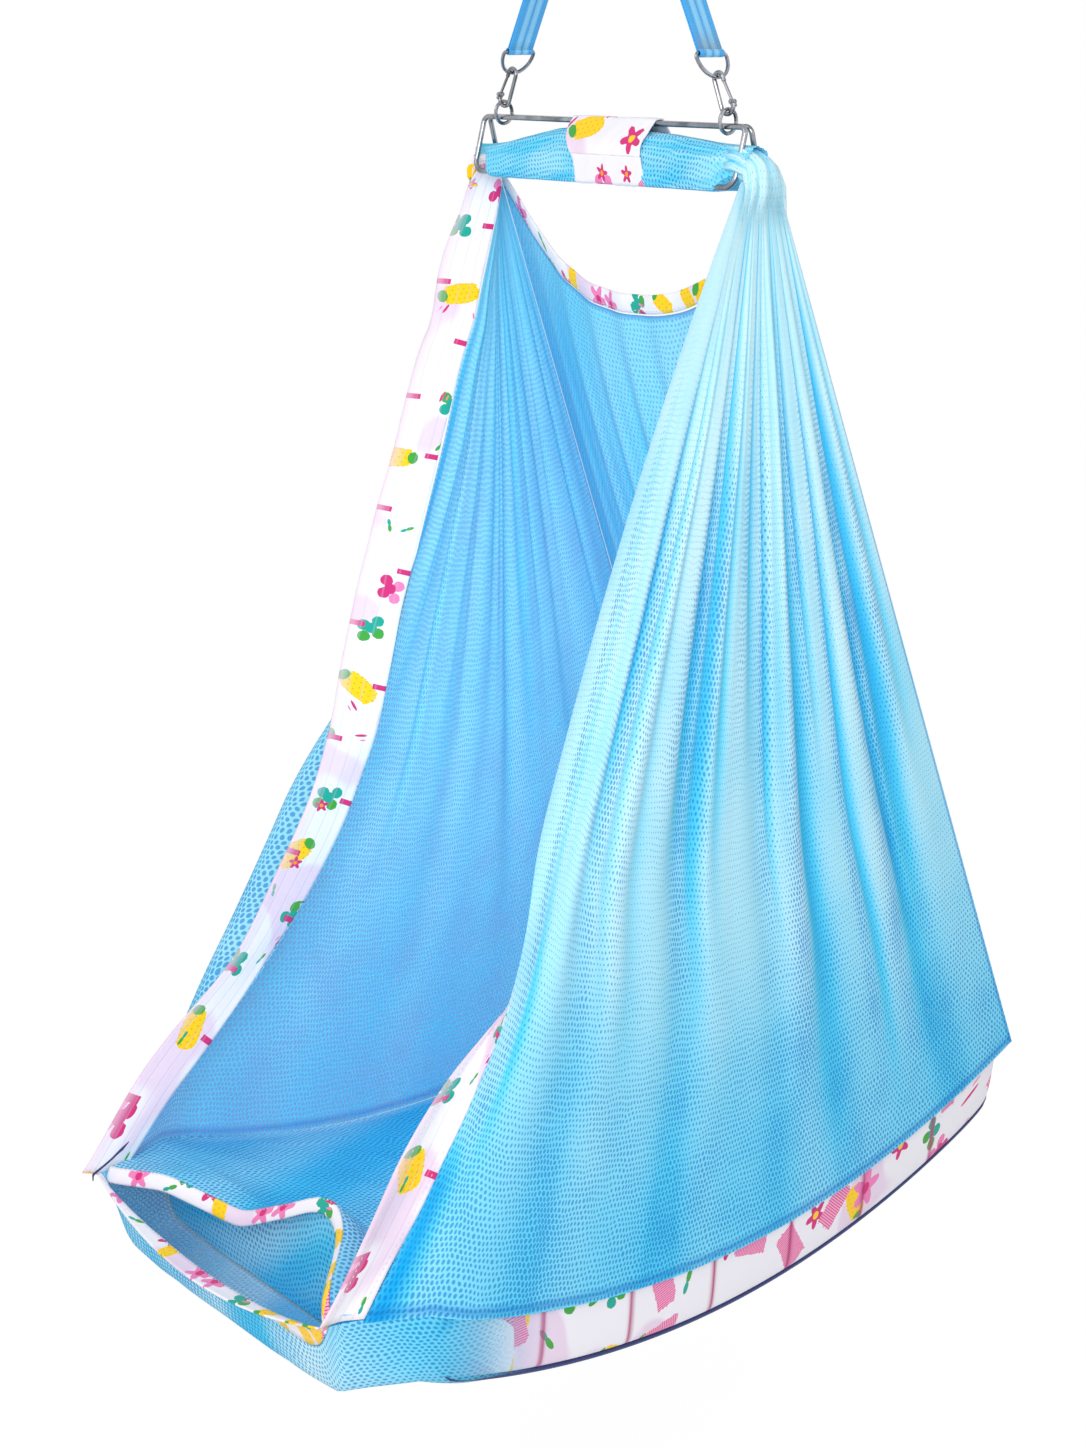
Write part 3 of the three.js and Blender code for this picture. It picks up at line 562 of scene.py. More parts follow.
def steelMaterial():
    # Polished stainless wire with faint drawing lines, duller where it is smudged
    material, inputs = startMaterial("polishedSteel", 0.2, Metallic=1.0)
    place = objectSpace()
    smudge = noise(place, 60.0, 3.0)
    lines = noise(vec("MULTIPLY", place, (40.0, 900.0, 900.0)), 1.0)
    link(remap(smudge, 0.3, 0.75, 0.12, 0.3), inputs["Roughness"])
    shade = ramp(smudge, [(0.3, colour(112, 114, 120)), (0.75, colour(176, 178, 184))])
    dress(inputs, shade, lines, 0.05, 0.0003)
    return material


def webbingMaterial(width):
    # Woven nylon band: paler stripes, rows of dark dots between them, ribbed weave
    material, inputs = startMaterial("skyWebbing", 0.6, Sheen_Weight=0.2)
    uv = uvMap()
    across = channels("ShaderNodeSeparateXYZ", uv)[0] / width
    half = [(0.0, colour(60, 168, 232)), (0.2, colour(70, 178, 240)), (0.3, colour(150, 216, 250)),
            (0.42, colour(128, 206, 248))]
    otherHalf = [(1.0 - place, shade) for place, shade in half[::-1]]
    shade = ramp(across, half + [(0.5, colour(70, 172, 236))] + otherHalf)
    dots = hexDistance(uv, 0.0024, 0.8)
    aside = abs(across - 0.5)
    row = calc("MAXIMUM", aside < 0.045, (aside > 0.3) * (aside < 0.36))
    shade = blend((dots < 0.3) * (row * 0.7 + 0.18), shade, colour(24, 104, 170))
    fleck = noise(uv, 700.0, 1.0)
    shade = blend(fleck * 0.25, shade, colour(28, 130, 210))
    dress(inputs, shade, dots + fleck * 0.4, 0.4, 0.0008)
    return material


def threadMaterial(name, shade):
    material, inputs = startMaterial(name, 0.6, Sheen_Weight=0.3)
    twist = noise(objectSpace(), 1500.0, 1.0)
    low = tuple(c * 0.75 for c in shade[:3]) + (1.0,)
    dress(inputs, ramp(twist, [(0.3, low), (0.7, shade)]), twist, 0.2, 0.0003)
    return material


finish = {
    "net": netMaterial(),
    "trim": printMaterial("entryPrint", dashWidth=0.046),
    "lip": printMaterial("lipPrint", crowd=22.0, dense=1.0),
    "band": printMaterial("bandPrint", crowd=26.0, dense=0.7),
    "quilt": printMaterial("quiltPrint", quilted=True, crowd=16.0, dense=1.0),
    "navy": navyMaterial(),
    "steel": steelMaterial(),
    "webbing": webbingMaterial(width=0.03),
    "whiteThread": threadMaterial("whiteThread", colour(236, 228, 238)),
}
print("materials made")

# Bed line and tent surfaces, as in the source
bed = {
    "topBar": -0.36539, "lowBar": -0.41547, "rimLow": -1.41539, "rise": 0.082,
    "halfWidth": 0.223, "end": 0.403, "mouthHalf": 0.178, "mouthReach": 0.092, "mouthRise": 0.009,
    "padHalfWidth": 0.217, "padHalfLength": 0.397, "pocketDepth": 0.0765, "wallPower": 36, "padWallPower": 110,
    "crown": 0.012, "channels": 7, "channelDepth": 0.005,
}
tent = {
    "gatherSide": 0.1837, "gatherHeight": -0.40939, "gatherWidth": 0.026, "trimWidth": 0.040,
    "foldDepth": 0.0075, "bow": 0.082, "curl": 0.020, "turnGap": 0.005,
    "drawAside": 0.038, "drawBack": 0.041, "drawStart": (-0.02, 0.17), "drawEnd": (0.55, 1.0),
    "drawReach": (0.1, 0.85), "tuckAside": 0.016, "tuckBack": 0.022,
    "scoopDepth": 0.113, "scoopTrim": 0.018, "farBow": 0.055, "farFoldDepth": 0.00375, "farInset": 0.0006,
    "netThickness": 0.002, "clothGap": 0.0005, "seamGap": 0.0012,
}
mouthEnd = bed["end"] + bed["mouthReach"]
bedRun = 2 * bed["end"] + bed["mouthReach"]


def rimHeight(y):
    share = np.minimum(np.abs(y) / bed["end"], 1.0)
    past = np.maximum(-y - bed["end"], 0.0) / bed["mouthReach"]
    return bed["rimLow"] + bed["rise"] * share ** 2 + bed["mouthRise"] * past


def rimHalfWidth(y):
    past = smoothStep(-y, bed["end"] - bed["mouthReach"] / 2, mouthEnd)
    return mix(bed["halfWidth"], bed["mouthHalf"], past)


def bowl(a):
    return 1.0 - np.abs(a) ** bed["wallPower"]


def trimShare(t):
    rest = tent["gatherWidth"] + bedRun * t
    return tent["trimWidth"] / (tent["trimWidth"] + rest)


def sidePlace(side, s, t):
    # Plain side surface of the tent before its folds. On the left the entry edge draws back, less at one
    # place near the top, and is tucked in at the roll
    y = mix(-mouthEnd, bed["end"], s)
    gatherY = (s - 0.5) * (tent["gatherWidth"] + tent["trimWidth"] / 2)
    bow = np.sin(math.pi * t ** 2.3) * hump(s / trimShare(t), 0, 1.6)
    drawn = window(t, tent["drawStart"], tent["drawEnd"]) * (1 - 0.14 * hump(t, 0.18, 0.08)) \
        * (1 - smoothStep(s, *tent["drawReach"])) * (side < 0)
    tucked = (1 - smoothStep(t, 0.0, 0.14)) * (1 - smoothStep(s, 0.3, 0.95)) * (side < 0)
    reach = mix(tent["gatherSide"], rimHalfWidth(y), t) - tent["tuckAside"] * tucked
    z = mix(tent["gatherHeight"], rimHeight(y) + tent["netThickness"] / 2 + tent["clothGap"], t)
    return (reach - tent["curl"] * bow - tent["drawAside"] * drawn,
            mix(gatherY, y, t) + tent["bow"] * bow + tent["drawBack"] * drawn + tent["tuckBack"] * tucked, z)


# Each entry trim at shares of the height. Turn is in degrees about its seam: the left one flares out,
# the right one lies folded in behind the net and comes out above the mouth
trimTurn = {
    -1: ([0, 0.03, 0.1, 0.3, 0.4, 0.5, 0.6, 0.75, 0.85, 0.9, 0.95, 1],
         [-20, -45, -62, -68, -78, -92, -106, -112, -100, -84, -50, -18]),
    1: ([0, 0.55, 0.61, 0.67, 0.74, 0.82, 0.92, 1], [180, 180, 150, 95, 35, -10, -20, 0]),
}
trimWide = {
    -1: ([0, 0.1, 0.5, 0.74, 0.83, 0.9, 1], [0.030, 0.046, 0.048, 0.045, 0.031, 0.038, 0.040]),
    1: ([0, 0.6, 0.72, 0.85, 0.93, 1], [0.036, 0.036, 0.038, 0.050, 0.056, 0.044]),
}


def entryTurn(side, t):
    return np.radians(curve(t, *trimTurn[side]))


def seamShare(side, t):
    turned = entryTurn(side, t) if side > 0 else math.radians(45)
    return trimShare(t) * (1 + np.cos(turned)) / 2


# Sharp folds that run down each side net from its gather: place across, width, depth, where they end, lean
foldLook = {
    "count": 17, "seed": 12, "scatter": 0.38, "width": (0.006, 0.018), "depth": (0.35, 1.0), "end": (0.6, 1.02),
    "lean": (-0.02, 0.02),
}


def foldList(side):
    rng = np.random.default_rng(foldLook["seed"] + side)
    count, scatter = foldLook["count"], foldLook["scatter"]
    places = (np.arange(count) + 0.5 + rng.uniform(-scatter, scatter, count)) / count
    return list(zip(places, *(rng.uniform(*foldLook[key], count) for key in ("width", "depth", "end", "lean"))))


foldLines = {side: foldList(side) for side in (-1, 1)}


def foldsAt(side, u, t):
    # Valleys from 0 to 1, the flanks beside them, and broad swells from -1 to 1
    valley, flank = 0.0 * (u + t), 0.0 * (u + t)
    for place, width, depth, end, lean in foldLines[side]:
        centre = place + lean * np.sin(2.4 * t + 9 * place) + 0.004 * np.sin(11 * t + 30 * place)
        wide = width * (0.55 + 1.1 * t)
        fade = depth * (1 - smoothStep(t, end - 0.35, end))
        valley = np.maximum(valley, fade * hump(u, centre, wide))
        flank = np.maximum(flank, fade * hump(u, centre - side * 2.0 * wide, 1.1 * wide))
    swell = np.sin(2 * math.pi * (5.2 * u + 0.12 * np.sin(7 * u + 2 * side))) * 0.7 \
        + 0.4 * np.sin(2 * math.pi * (9.7 * u + 0.05 * np.sin(4 * t)) + 1.1)
    return valley, flank, swell


def foldRoom(side, u, t):
    # Where the folds are deep: away from both edges and from the folded trim
    edge = seamShare(side, t)
    behind = (trimShare(t) - edge) / (1 - edge)
    return window(u, (behind * 0.5, behind + 0.06), (0.93, 1.0))


def panelPlace(side, u, t):
    edge = seamShare(side, t) + tent["seamGap"]
    x, y, z = sidePlace(side, mix(edge, 1.0, u), t)
    long = window(t, (0.0, 0.25), (0.55, 0.99))
    valley, swell = foldsAt(side, u, t)[::2]
    deep = tent["foldDepth"] * (1.0 if side > 0 else 0.5)
    crease = valley * smoothStep(t, 0.0, 0.12) * side * (0.35 + 0.65 * long)
    return x + foldRoom(side, u, t) * deep * (long * swell * 0.8 - crease), y, z


# Belly that the left net makes in front of its trim, peaking at one share across the net:
# shares of the height, reach aside and place along
leftBelly = {
    "peak": 0.07, "shares": [0.30, 0.474, 0.574, 0.677, 0.781, 0.831, 0.897, 1.0],
    "reach": [0.168, 0.182, 0.198, 0.210, 0.218, 0.221, 0.220, 0.190],
    "along": [-0.10, -0.160, -0.206, -0.252, -0.306, -0.336, -0.372, -0.46],
}


def bellyPlace(u, t):
    x, y, z = panelPlace(-1, u, t)
    peak, shares = leftBelly["peak"], leftBelly["shares"]
    baseX, baseY = panelPlace(-1, peak + 0 * u, t)[:2]
    full = window(t, (0.36, 0.66), (0.88, 0.97))
    share = full * smoothStep(u, 0.0, 0.05) * hump(u, peak, 0.075)
    return (x + share * (curve(t, shares, leftBelly["reach"]) - baseX),
            y + share * (curve(t, shares, leftBelly["along"]) - baseY), z)


def farPlace(c, t):
    edgeX, edgeY, edgeZ = sidePlace(1, 1.0 + 0 * c, t)
    calm = 1 - c * c
    bow = tent["farBow"] * np.sin(math.pi * t ** 0.6) * calm
    wave = tent["farFoldDepth"] * np.sin(8 * math.pi * c) * np.sin(math.pi * t) * calm
    return c * (edgeX - tent["farInset"]), edgeY - bow + wave, edgeZ


farHeight = tent["gatherHeight"] - float(rimHeight(np.array(bed["end"])))


def scoopShare(c):
    return tent["scoopDepth"] / farHeight * (1 - np.abs(c) ** 2.4)


# Side nets
panel = {"columns": 520, "rows": 150, "overrun": 1.004, "flat": (0.94, 1.10), "flatArea": 0.62}


def sideFoldShadeAndHoles(side, u, t):
    # Painted shade and highlight of the cloth, from 0 in a valley to 1 on a ridge of its folds, and how far the
    # holes open
    valley, flank, swell = foldsAt(side, u, t)
    deep = valley * (0.4 + 0.6 * foldRoom(side, u, t))
    soft = 0.5 + 0.5 * swell
    low = smoothStep(t, 0.6, 0.96)
    grain = 0.06 * ripple(u * 9, t * 3, 3 + side)
    if side < 0:
        strip = 0.3 * (1 - smoothStep(u, 0.014, 0.02))
        fold = mix(0.54, 0.44, low) + 0.08 * soft - 0.14 * deep + grain + strip
        # Painted shade: a dark line down the left net beside its trim
        line = 0.8 * hump(u, 0.036, 0.014) * window(t, (0.1, 0.3), (0.34, 0.46))
        fold = mix(fold, 0.05, line)
        return mix(fold, 0.62, (1 - smoothStep(u, 0.06, 0.12)) * smoothStep(t, 0.42, 0.5)), 0.85 + 0 * u, low
    band = mix(0.72, 0.62, smoothStep(u, 0.2, 0.45) * smoothStep(t, 0.3, 0.5)) \
        - 0.2 * smoothStep(t, 0.52, 0.8) * (1 - smoothStep(u, 0.15, 0.4))
    fold = mix(band + 0.2 * soft, 0.40 + 0.14 * soft, low) - 0.6 * deep + grain
    fold = fold + 0.14 * (1 - smoothStep(t, 0.08, 0.3))
    front = hump(u, 0, 0.07) * window(t, (0.1, 0.3), (0.62, 0.8))
    fold = mix(fold, 0.62, 0.5 * front)
    # Painted shade: a deep blue valley beside the folded-in right trim, low down
    fold = mix(fold, 0.0, hump(u, 0.012, 0.018) * smoothStep(t, 0.84, 0.9))
    holes = flank * 1.3 + 0.25 * low + 0.30 * smoothStep(-swell, 0.1, 0.9)
    return fold, np.clip(holes, 0, 1), low


def sideNet(side):
    word = "right" if side > 0 else "left"

    def place(u, t):
        t = t * panel["overrun"]
        x, y, z = panelPlace(side, u, t) if side > 0 else bellyPlace(u, t)
        return side * x, y, z

    def paint(u, t):
        fold, holes, low = sideFoldShadeAndHoles(side, u, t)
        hem = np.maximum(1 - np.abs(t - 0.994) / 0.004, 0) + np.maximum(1 - np.abs(u - 0.997) / 0.003, 0)
        open = smoothStep(t, 0.02, 0.35) * mix(0.30, 1.0, np.clip(holes + 0.55 * low, 0, 1))
        return {"fold": fold, "dense": 1 - open, "seam": hem}

    piece = gridPiece(word + "SideNet", place, panel["columns"], panel["rows"], "net", panel["flat"], paint)
    if side < 0:
        piece.data.flip_normals()
    hang(piece, "sky_net", word + "_side_net", panel["flat"], "gathered", "net_roll", area=panel["flatArea"])


for side in (-1, 1):
    sideNet(side)

# Far end net
farPanel = {
    "columns": 260, "rows": 130, "overrun": 1.006, "flat": (0.50, 1.0), "flatArea": 0.42,
    "pattern": (0.46, 0.95), "pleats": 17, "pleatDepth": 0.0022,
}


def farNet():
    gap = 1.5 * tent["seamGap"] / tent["scoopTrim"]

    def pleat(u, v):
        return np.sin(2 * math.pi * farPanel["pleats"] * u + 3 * v)

    def place(u, v):
        c = fromMiddle(u)
        start = scoopShare(c) + tent["scoopTrim"] / farHeight * (1 + gap)
        x, y, z = farPlace(c, mix(start, farPanel["overrun"], v))
        return x, y + farPanel["pleatDepth"] * pleat(u, v) * np.sin(math.pi * v) * (1 - c * c), z

    def paint(u, v):
        # Painted shade and highlight following the far net's pleats and waves
        fold = np.sin(8 * math.pi * fromMiddle(u)) * 0.4 + 0.3 * pleat(u, v)
        hem = np.maximum(1 - v / 0.006, 0)
        return {
            "fold": 0.52 - 0.18 * fold * np.sin(math.pi * v) + 0.12 * ripple(u * 7, v * 5, 9),
            "dense": 0.35 - 0.3 * v,
            "seam": np.maximum(hem, np.maximum(1 - np.abs(v - 0.994) / 0.006, 0)),
        }

    piece = gridPiece("farEndNet", place, farPanel["columns"], farPanel["rows"], "net", farPanel["pattern"], paint)
    piece.data.flip_normals()
    hang(piece, "sky_net", "far_end_net", farPanel["flat"], "hung", "net_roll", area=farPanel["flatArea"])


farNet()
print("nets hung")

# Printed trims on the tent
trimLook = {
    "drop": 0.011, "thickness": 0.0016, "columns": 14, "rows": 150, "roll": 0.0016, "sway": 0.0018,
    "flat": (0.047, 1.12), "flatArea": 0.042, "pattern": (0.046, 1.14), "stitchLift": 0.0012,
    "stitchAt": (0.14, 0.86),
}
scoopLook = {
    "counts": (160, 8), "pattern": (0.56, 0.019), "flat": (0.56, 0.018), "puff": 0.0012, "stitchAt": 0.85,
}


def sewTrim(name, node, place, counts, cloth, pattern, thickness, flat, rest, paths, stitches, sizes, **more):
    # Trim with its row of stitches
    piece = gridPiece(name, place, *counts, cloth, pattern)
    thicken(piece, thickness)
    hang(piece, "print_cloth", node, flat, "stretched", rest, **more)
    finishPiece(runTree(stitches, stitchNodes, paths, "whiteThread", **sizes), "cradle", "print_cloth")


def inwardNormal(side, s, t):
    # Unit normal of the plain side surface, towards the inside of the tent
    near = 0.001

    def at(s, t):
        return np.stack(sidePlace(side, s, t), -1)

    normal = np.cross(at(s + near, t) - at(s, t), at(s, np.minimum(t + near, 1)) - at(s, np.maximum(t - near, 0)))
    return normal / np.linalg.norm(normal, axis=-1, keepdims=True)


def entryPlace(side, u, t):
    turn = entryTurn(side, t)
    wide = curve(t, *trimWide[side])
    seam = seamShare(side, t)
    folded = (1 - np.cos(turn)) / 2 * (side > 0)
    free = seam - trimShare(t) * wide / tent["trimWidth"] * np.cos(turn)
    share = mix(free, seam, u) + trimShare(t) * 0.5 * folded
    spot = np.stack(sidePlace(side, share, t), -1)
    deeper = 1 + 2.6 * window(t, (0.03, 0.15), (0.56, 0.66))
    spot = spot + inwardNormal(side, share, t) * (tent["turnGap"] * deeper * folded)[..., None]
    spot = spot + inwardNormal(side, seam, t) * (wide * (1 - u) * np.sin(turn))[..., None]
    return spot[..., 0], spot[..., 1], spot[..., 2]


def entryTrim(side):
    word = "right" if side > 0 else "left"

    def place(u, t):
        x, y, z = entryPlace(side, u, t)
        hem = trimLook["roll"] * (np.cos(2 * math.pi * u) * 0.5 + 0.5) * smoothStep(t, 0.02, 0.1)
        sway = trimLook["sway"] * ripple(t * 26, u * 2, 21 + side) * smoothStep(t, 0.03, 0.2)
        drop = trimLook["drop"] * smoothStep(t, 0.93, 1.0) * (side < 0)
        return side * (x + hem * 0.6 + sway), y - hem * 0.4, z - drop

    paths = []
    for share in trimLook["stitchAt"]:
        t = np.linspace(0.03, 0.985, 260)
        x, y, z = place(np.full_like(t, share), t)
        paths.append(np.stack([x + side * trimLook["stitchLift"], y, z], -1))
    sewTrim(word + "EntryTrim", word + "_entry_trim", place, (trimLook["columns"], trimLook["rows"]), "trim",
            trimLook["pattern"], trimLook["thickness"], trimLook["flat"], "net_roll", paths,
            word + "EntryTrimStitches", {"Pitch": 0.0055, "Length": 0.0034, "Width": 0.0009},
            area=trimLook["flatArea"])


for side in (-1, 1):
    entryTrim(side)


def scoopTrim():
    def place(u, v):
        c = fromMiddle(u)
        x, y, z = farPlace(c, scoopShare(c) + tent["scoopTrim"] / farHeight * v)
        return x, y - scoopLook["puff"] * np.sin(math.pi * v), z

    u = np.linspace(0.02, 0.98, 220)
    x, y, z = place(u, np.full_like(u, scoopLook["stitchAt"]))
    sewTrim("scoopTrim", "scoop_trim", place, scoopLook["counts"], "lip", scoopLook["pattern"],
            trimLook["thickness"], scoopLook["flat"], "far_end_net",
            np.stack([x, y - trimLook["stitchLift"], z], -1), "scoopStitches", {})


scoopTrim()
print("tent trims sewn")

# Net pocket, its lips and the net over the mattress
pocket = {
    "lipTrim": 0.019, "lowerSag": 0.027, "frontSag": 0.12, "lowerBow": 0.016, "columns": 190, "rows": 260,
    "upperShares": [0, 0.18, 0.42, 0.56, 0.64, 0.69, 0.76, 0.85, 0.94, 1],
    "upperEdge": [-0.487, -0.460, -0.434, -0.421, -0.412, -0.410, -0.423, -0.451, -0.480, -0.494],
    "upperLift": [0.002, 0.010, 0.000, 0.030, 0.050, 0.052, 0.044, 0.034, 0.024, 0.004],
    # Lines drawn on the pocket as painted crease shadows, each from start to end
    "creaseShadows": [((0.192, -0.490, -1.325), (0.150, -0.495, -1.395)),
                ((0.222, -0.384, -1.334), (0.218, -0.435, -1.40))],
    "creaseShadowWidth": 0.0055, "puff": 0.0015, "topPart": 0.35, "trimThickness": 0.0018, "stitchLift": 0.0014,
    "seamShare": 0.0006, "stitchAt": 0.86, "lipRows": 8, "flat": (0.60, 1.06),
    "sagEnd": (-0.42, -0.26), "veilEnd": (-0.42, -0.27), "wallSpread": 1.9, "topFlat": (0.44, 0.86),
    "topColumns": 170, "topRows": 220, "topRange": (0.0, 0.13), "liftRange": (0.0, 0.11),
}


def pocketDrop(a, y):
    # Depth below the rim, with some sag at the front
    sag = pocket["frontSag"] * (1 - smoothStep(y, *pocket["sagEnd"])) * (1 - a ** 4)
    return bed["pocketDepth"] * bowl(a) * (1 + sag)


def pocketPlace(u, v):
    a = fromMiddle(u)
    lip = mouthEnd + pocket["lowerBow"] * (1 - a * a)
    y = mix(-lip, bed["end"], v)
    deep = smoothStep(y, -mouthEnd, -mouthEnd + bed["mouthReach"] * 0.3)
    farWall = np.where(y > 0, bowl(y / bed["end"]), 1.0)
    depth = mix(pocket["lowerSag"] * (1 - a * a), pocketDrop(a, y) * farWall, deep)
    return a * rimHalfWidth(y), y, rimHeight(y) - depth


def lipShare(u):
    # Share of the pocket's run that the lower trim takes, less at the corners where the pocket is steep
    return pocket["lipTrim"] / bedRun * (1 - 0.8 * fromMiddle(u) ** 8)


def pocketNet():
    def place(u, v):
        return pocketPlace(u, mix(lipShare(u) + pocket["seamShare"], 1.0, v))

    def paint(u, v):
        spot = np.stack(place(u, v), -1)
        crease = 0.0 * u
        # Painted shadow: two crease lines are drawn dark on the pocket net, whose shape has no crease there
        for start, end in pocket["creaseShadows"]:
            start, run = np.array(start), np.array(end) - np.array(start)
            share = np.clip(((spot - start) @ run) / (run @ run), 0, 1)
            away = np.linalg.norm(spot - start - share[..., None] * run, axis=-1)
            crease = np.maximum(crease, hump(away, 0, pocket["creaseShadowWidth"]) * (1 - 0.5 * share))
        return {
            "fold": 0.60 + 0.3 * ripple(u * 12, v * 9, 31) - 0.6 * crease,
            "dense": 0.12 + 0.1 * ripple(u * 5, v * 4, 5),
            "veil": 1 - smoothStep(spot[..., 1], *pocket["veilEnd"]),
            "seam": 0.9 * crease,
        }

    # Columns lie close together at both ends, where the walls turn up
    even = np.linspace(-1, 1, pocket["columns"])
    uShares = 0.5 + 0.5 * np.sign(even) * (1 - (1 - np.abs(even)) ** pocket["wallSpread"])
    vShares = 1 - (1 - np.linspace(0, 1, pocket["rows"])) ** 1.15
    piece = gridPiece("pocketNet", place, uShares, vShares, "net", 1.0, paint)
    hang(piece, "sky_net", "pocket_net", pocket["flat"], "stretched", "mattress")


pocketNet()


def lowerLipPlace(u, v):
    x, y, z = pocketPlace(u, v * lipShare(u))
    puff = pocket["puff"] * np.sin(math.pi * v)
    return x, y - puff, z - puff * 0.3


def crownHeight(x, y):
    a = np.minimum(np.abs(x / bed["padHalfWidth"]), 1.0)
    b = np.minimum(np.abs(y / bed["padHalfLength"]), 1.0)
    crown = bed["crown"] * (1 - a ** 4) * (1 - b ** 6)
    return rimHeight(y) - bed["channelDepth"] + crown


def topEdge(u):
    return curve(u, pocket["upperShares"], pocket["upperEdge"])


def topLift(u, v):
    lift = curve(u, pocket["upperShares"], pocket["upperLift"])
    return lift * (1 - smoothStep(v, *pocket["liftRange"])) ** 1.5


def topNetPlace(u, v):
    # The free edge dips, stands up in one fold and comes down to the right corner
    y = mix(topEdge(u), bed["end"] - tent["seamGap"], v)
    past = 1 - smoothStep(v, *pocket["topRange"])
    x = fromMiddle(u) * (rimHalfWidth(y) - tent["seamGap"])
    flatZ = rimHeight(y) - tent["netThickness"]
    above = tent["netThickness"] + 2 * tent["clothGap"] + topLift(u, v)
    return x, y, mix(crownHeight(x, y), flatZ, past) + above


topLipShare = pocket["lipTrim"] / (2 * bed["end"] + bed["mouthReach"] / 2) * pocket["topPart"]


def bedTopNet():
    def place(u, v):
        return topNetPlace(u, mix(topLipShare + pocket["seamShare"], 1.0, v))

    def paint(u, v):
        return {"fold": 0.55 + 0.25 * ripple(u * 9, v * 8, 41), "dense": 0.1 + 0.1 * ripple(u * 5, v * 4, 6)}

    vShares = np.linspace(0, 1, pocket["topRows"]) ** 1.3
    piece = gridPiece("bedTopNet", place, pocket["topColumns"], vShares, "net", 1.0, paint)
    hang(piece, "sky_net", "bed_top_net", pocket["topFlat"], "stretched", "mattress")


bedTopNet()


def upperLipPlace(u, v):
    # The trim stands on edge, so that its printed face shows
    x, y, z = topNetPlace(u, v * topLipShare)
    return x, y - pocket["puff"] * np.sin(math.pi * v), z - (1 - v) * pocket["lipTrim"] * 0.75


for name, node, place, count, flat in (("lowerLipTrim", "lower_lip_trim", lowerLipPlace, 150, (0.43, 0.019)),
                                       ("upperLipTrim", "upper_lip_trim", upperLipPlace, 170, (0.44, 0.018))):
    u = np.linspace(0.01, 0.99, 200)
    x, y, z = place(u, np.full_like(u, pocket["stitchAt"]))
    sewTrim(name, node, place, (count, pocket["lipRows"]), "lip", flat, pocket["trimThickness"], flat, "pocket_net",
            np.stack([x, y, z + pocket["stitchLift"]], -1), name + "Stitches", {})


lining = {
    "columns": 120, "rows": 30, "wide": 0.985, "ahead": 0.0015, "belly": 0.003, "topGap": 0.0025, "gap": 0.002,
}


def mouthLining():
    # Net that closes the pocket in front of the pad's end
    def place(u, v):
        a = mix(-lining["wide"], lining["wide"], u)
        y = -bed["end"] - lining["ahead"] - lining["belly"] * np.sin(math.pi * v) * (1 - a ** 4)
        run = np.clip((y - topEdge(u)) / (bed["end"] - topEdge(u)), 0, 1)
        top = rimHeight(y) - lining["topGap"] + 0.9 * topLift(u, run) * (1 - smoothStep(np.abs(a), 0.9, 1.0))
        low = rimHeight(y) - pocketDrop(a, y) + lining["gap"]
        return a * (rimHalfWidth(y) - lining["gap"]), y, mix(top, low, v)

    def paint(u, v):
        return {"fold": 0.42 + 0.3 * ripple(u * 10, v * 3, 71), "dense": 0.25}

    piece = gridPiece("mouthLining", place, lining["columns"], lining["rows"], "net", 1.0, paint)
    finishPiece(piece, "cradle", "sky_net")


mouthLining()
print("pocket sewn")

# Mattress and its navy base
quilt = {
    "cornerDraw": 0.005, "thickness": 0.060, "hem": 0.0024, "columns": 90, "rows": 260, "fill": 0.7,
    "baseShare": (0.958, 0.978), "baseGrow": (1.009, 1.005), "baseCounts": (90, 120),
}


def padPlan(a, b):
    x = a * (bed["padHalfWidth"] - quilt["cornerDraw"] * np.abs(b) ** 18)
    y = b * (bed["padHalfLength"] - quilt["cornerDraw"] * np.abs(a) ** 18)
    full = (1.0 - np.abs(a) ** bed["padWallPower"]) * (1.0 - np.abs(b) ** bed["padWallPower"])
    return x, y, full


def underside(y, full):
    return rimHeight(y) - bed["channelDepth"] - quilt["hem"] - quilt["thickness"] * full


def closedPad(name, x, y, top, bottom, cloth):
    # A top and a bottom grid, joined round their edge
    index = np.arange(x.size).reshape(x.shape)
    far = x.size
    cells = cellQuads(index)
    ring = np.concatenate([index[:, 0], index[-1, 1:], index[-2::-1, -1], index[0, -2:0:-1]])
    after = np.roll(ring, -1)
    faces = np.concatenate([np.stack([cells, far + cells[:, ::-1]], 1).reshape(-1, 4),
                            np.stack([ring, far + ring, far + after, after], -1)])
    return addMesh(name, np.concatenate([pointList(x, y, top), pointList(x, y, bottom)]), faces, finish[cloth])


def mattressPad():
    a = np.linspace(-1, 1, quilt["columns"])
    b = np.linspace(-1, 1, quilt["rows"])
    a, b = (np.sign(e) * (1 - (1 - np.abs(e)) ** power) for e, power in ((a, 2.2), (b, 1.2)))
    aa, bb = np.meshgrid(a, b, indexing="ij")
    x, y, full = padPlan(aa, bb)
    dip = 1 - np.abs(np.sin(math.pi * bed["channels"] * (bb + 1) / 2))
    top = crownHeight(x, y) - bed["channelDepth"] * (0.35 * dip ** 3 + 0.65 * dip ** 1.2) * full
    bottom = underside(y, full)
    piece = closedPad("mattressPad", x, y, top, bottom, "quilt")
    # UV runs over the top and down the sides, so the print isn't smeared on the walls
    down = [np.sign(at) * (top - bottom) * (np.abs(share) > 0.8) for at, share in ((x, aa), (y, bb))]
    layFlat(piece, np.concatenate([pointList(x, y), pointList(x + down[0], y + down[1])]))
    paintVertices(piece, {"seam": np.tile(np.exp(-(dip - 1) ** 2 / 0.006).ravel(), 2)})
    finishPiece(piece, "cradle", "print_cloth", "mattress")


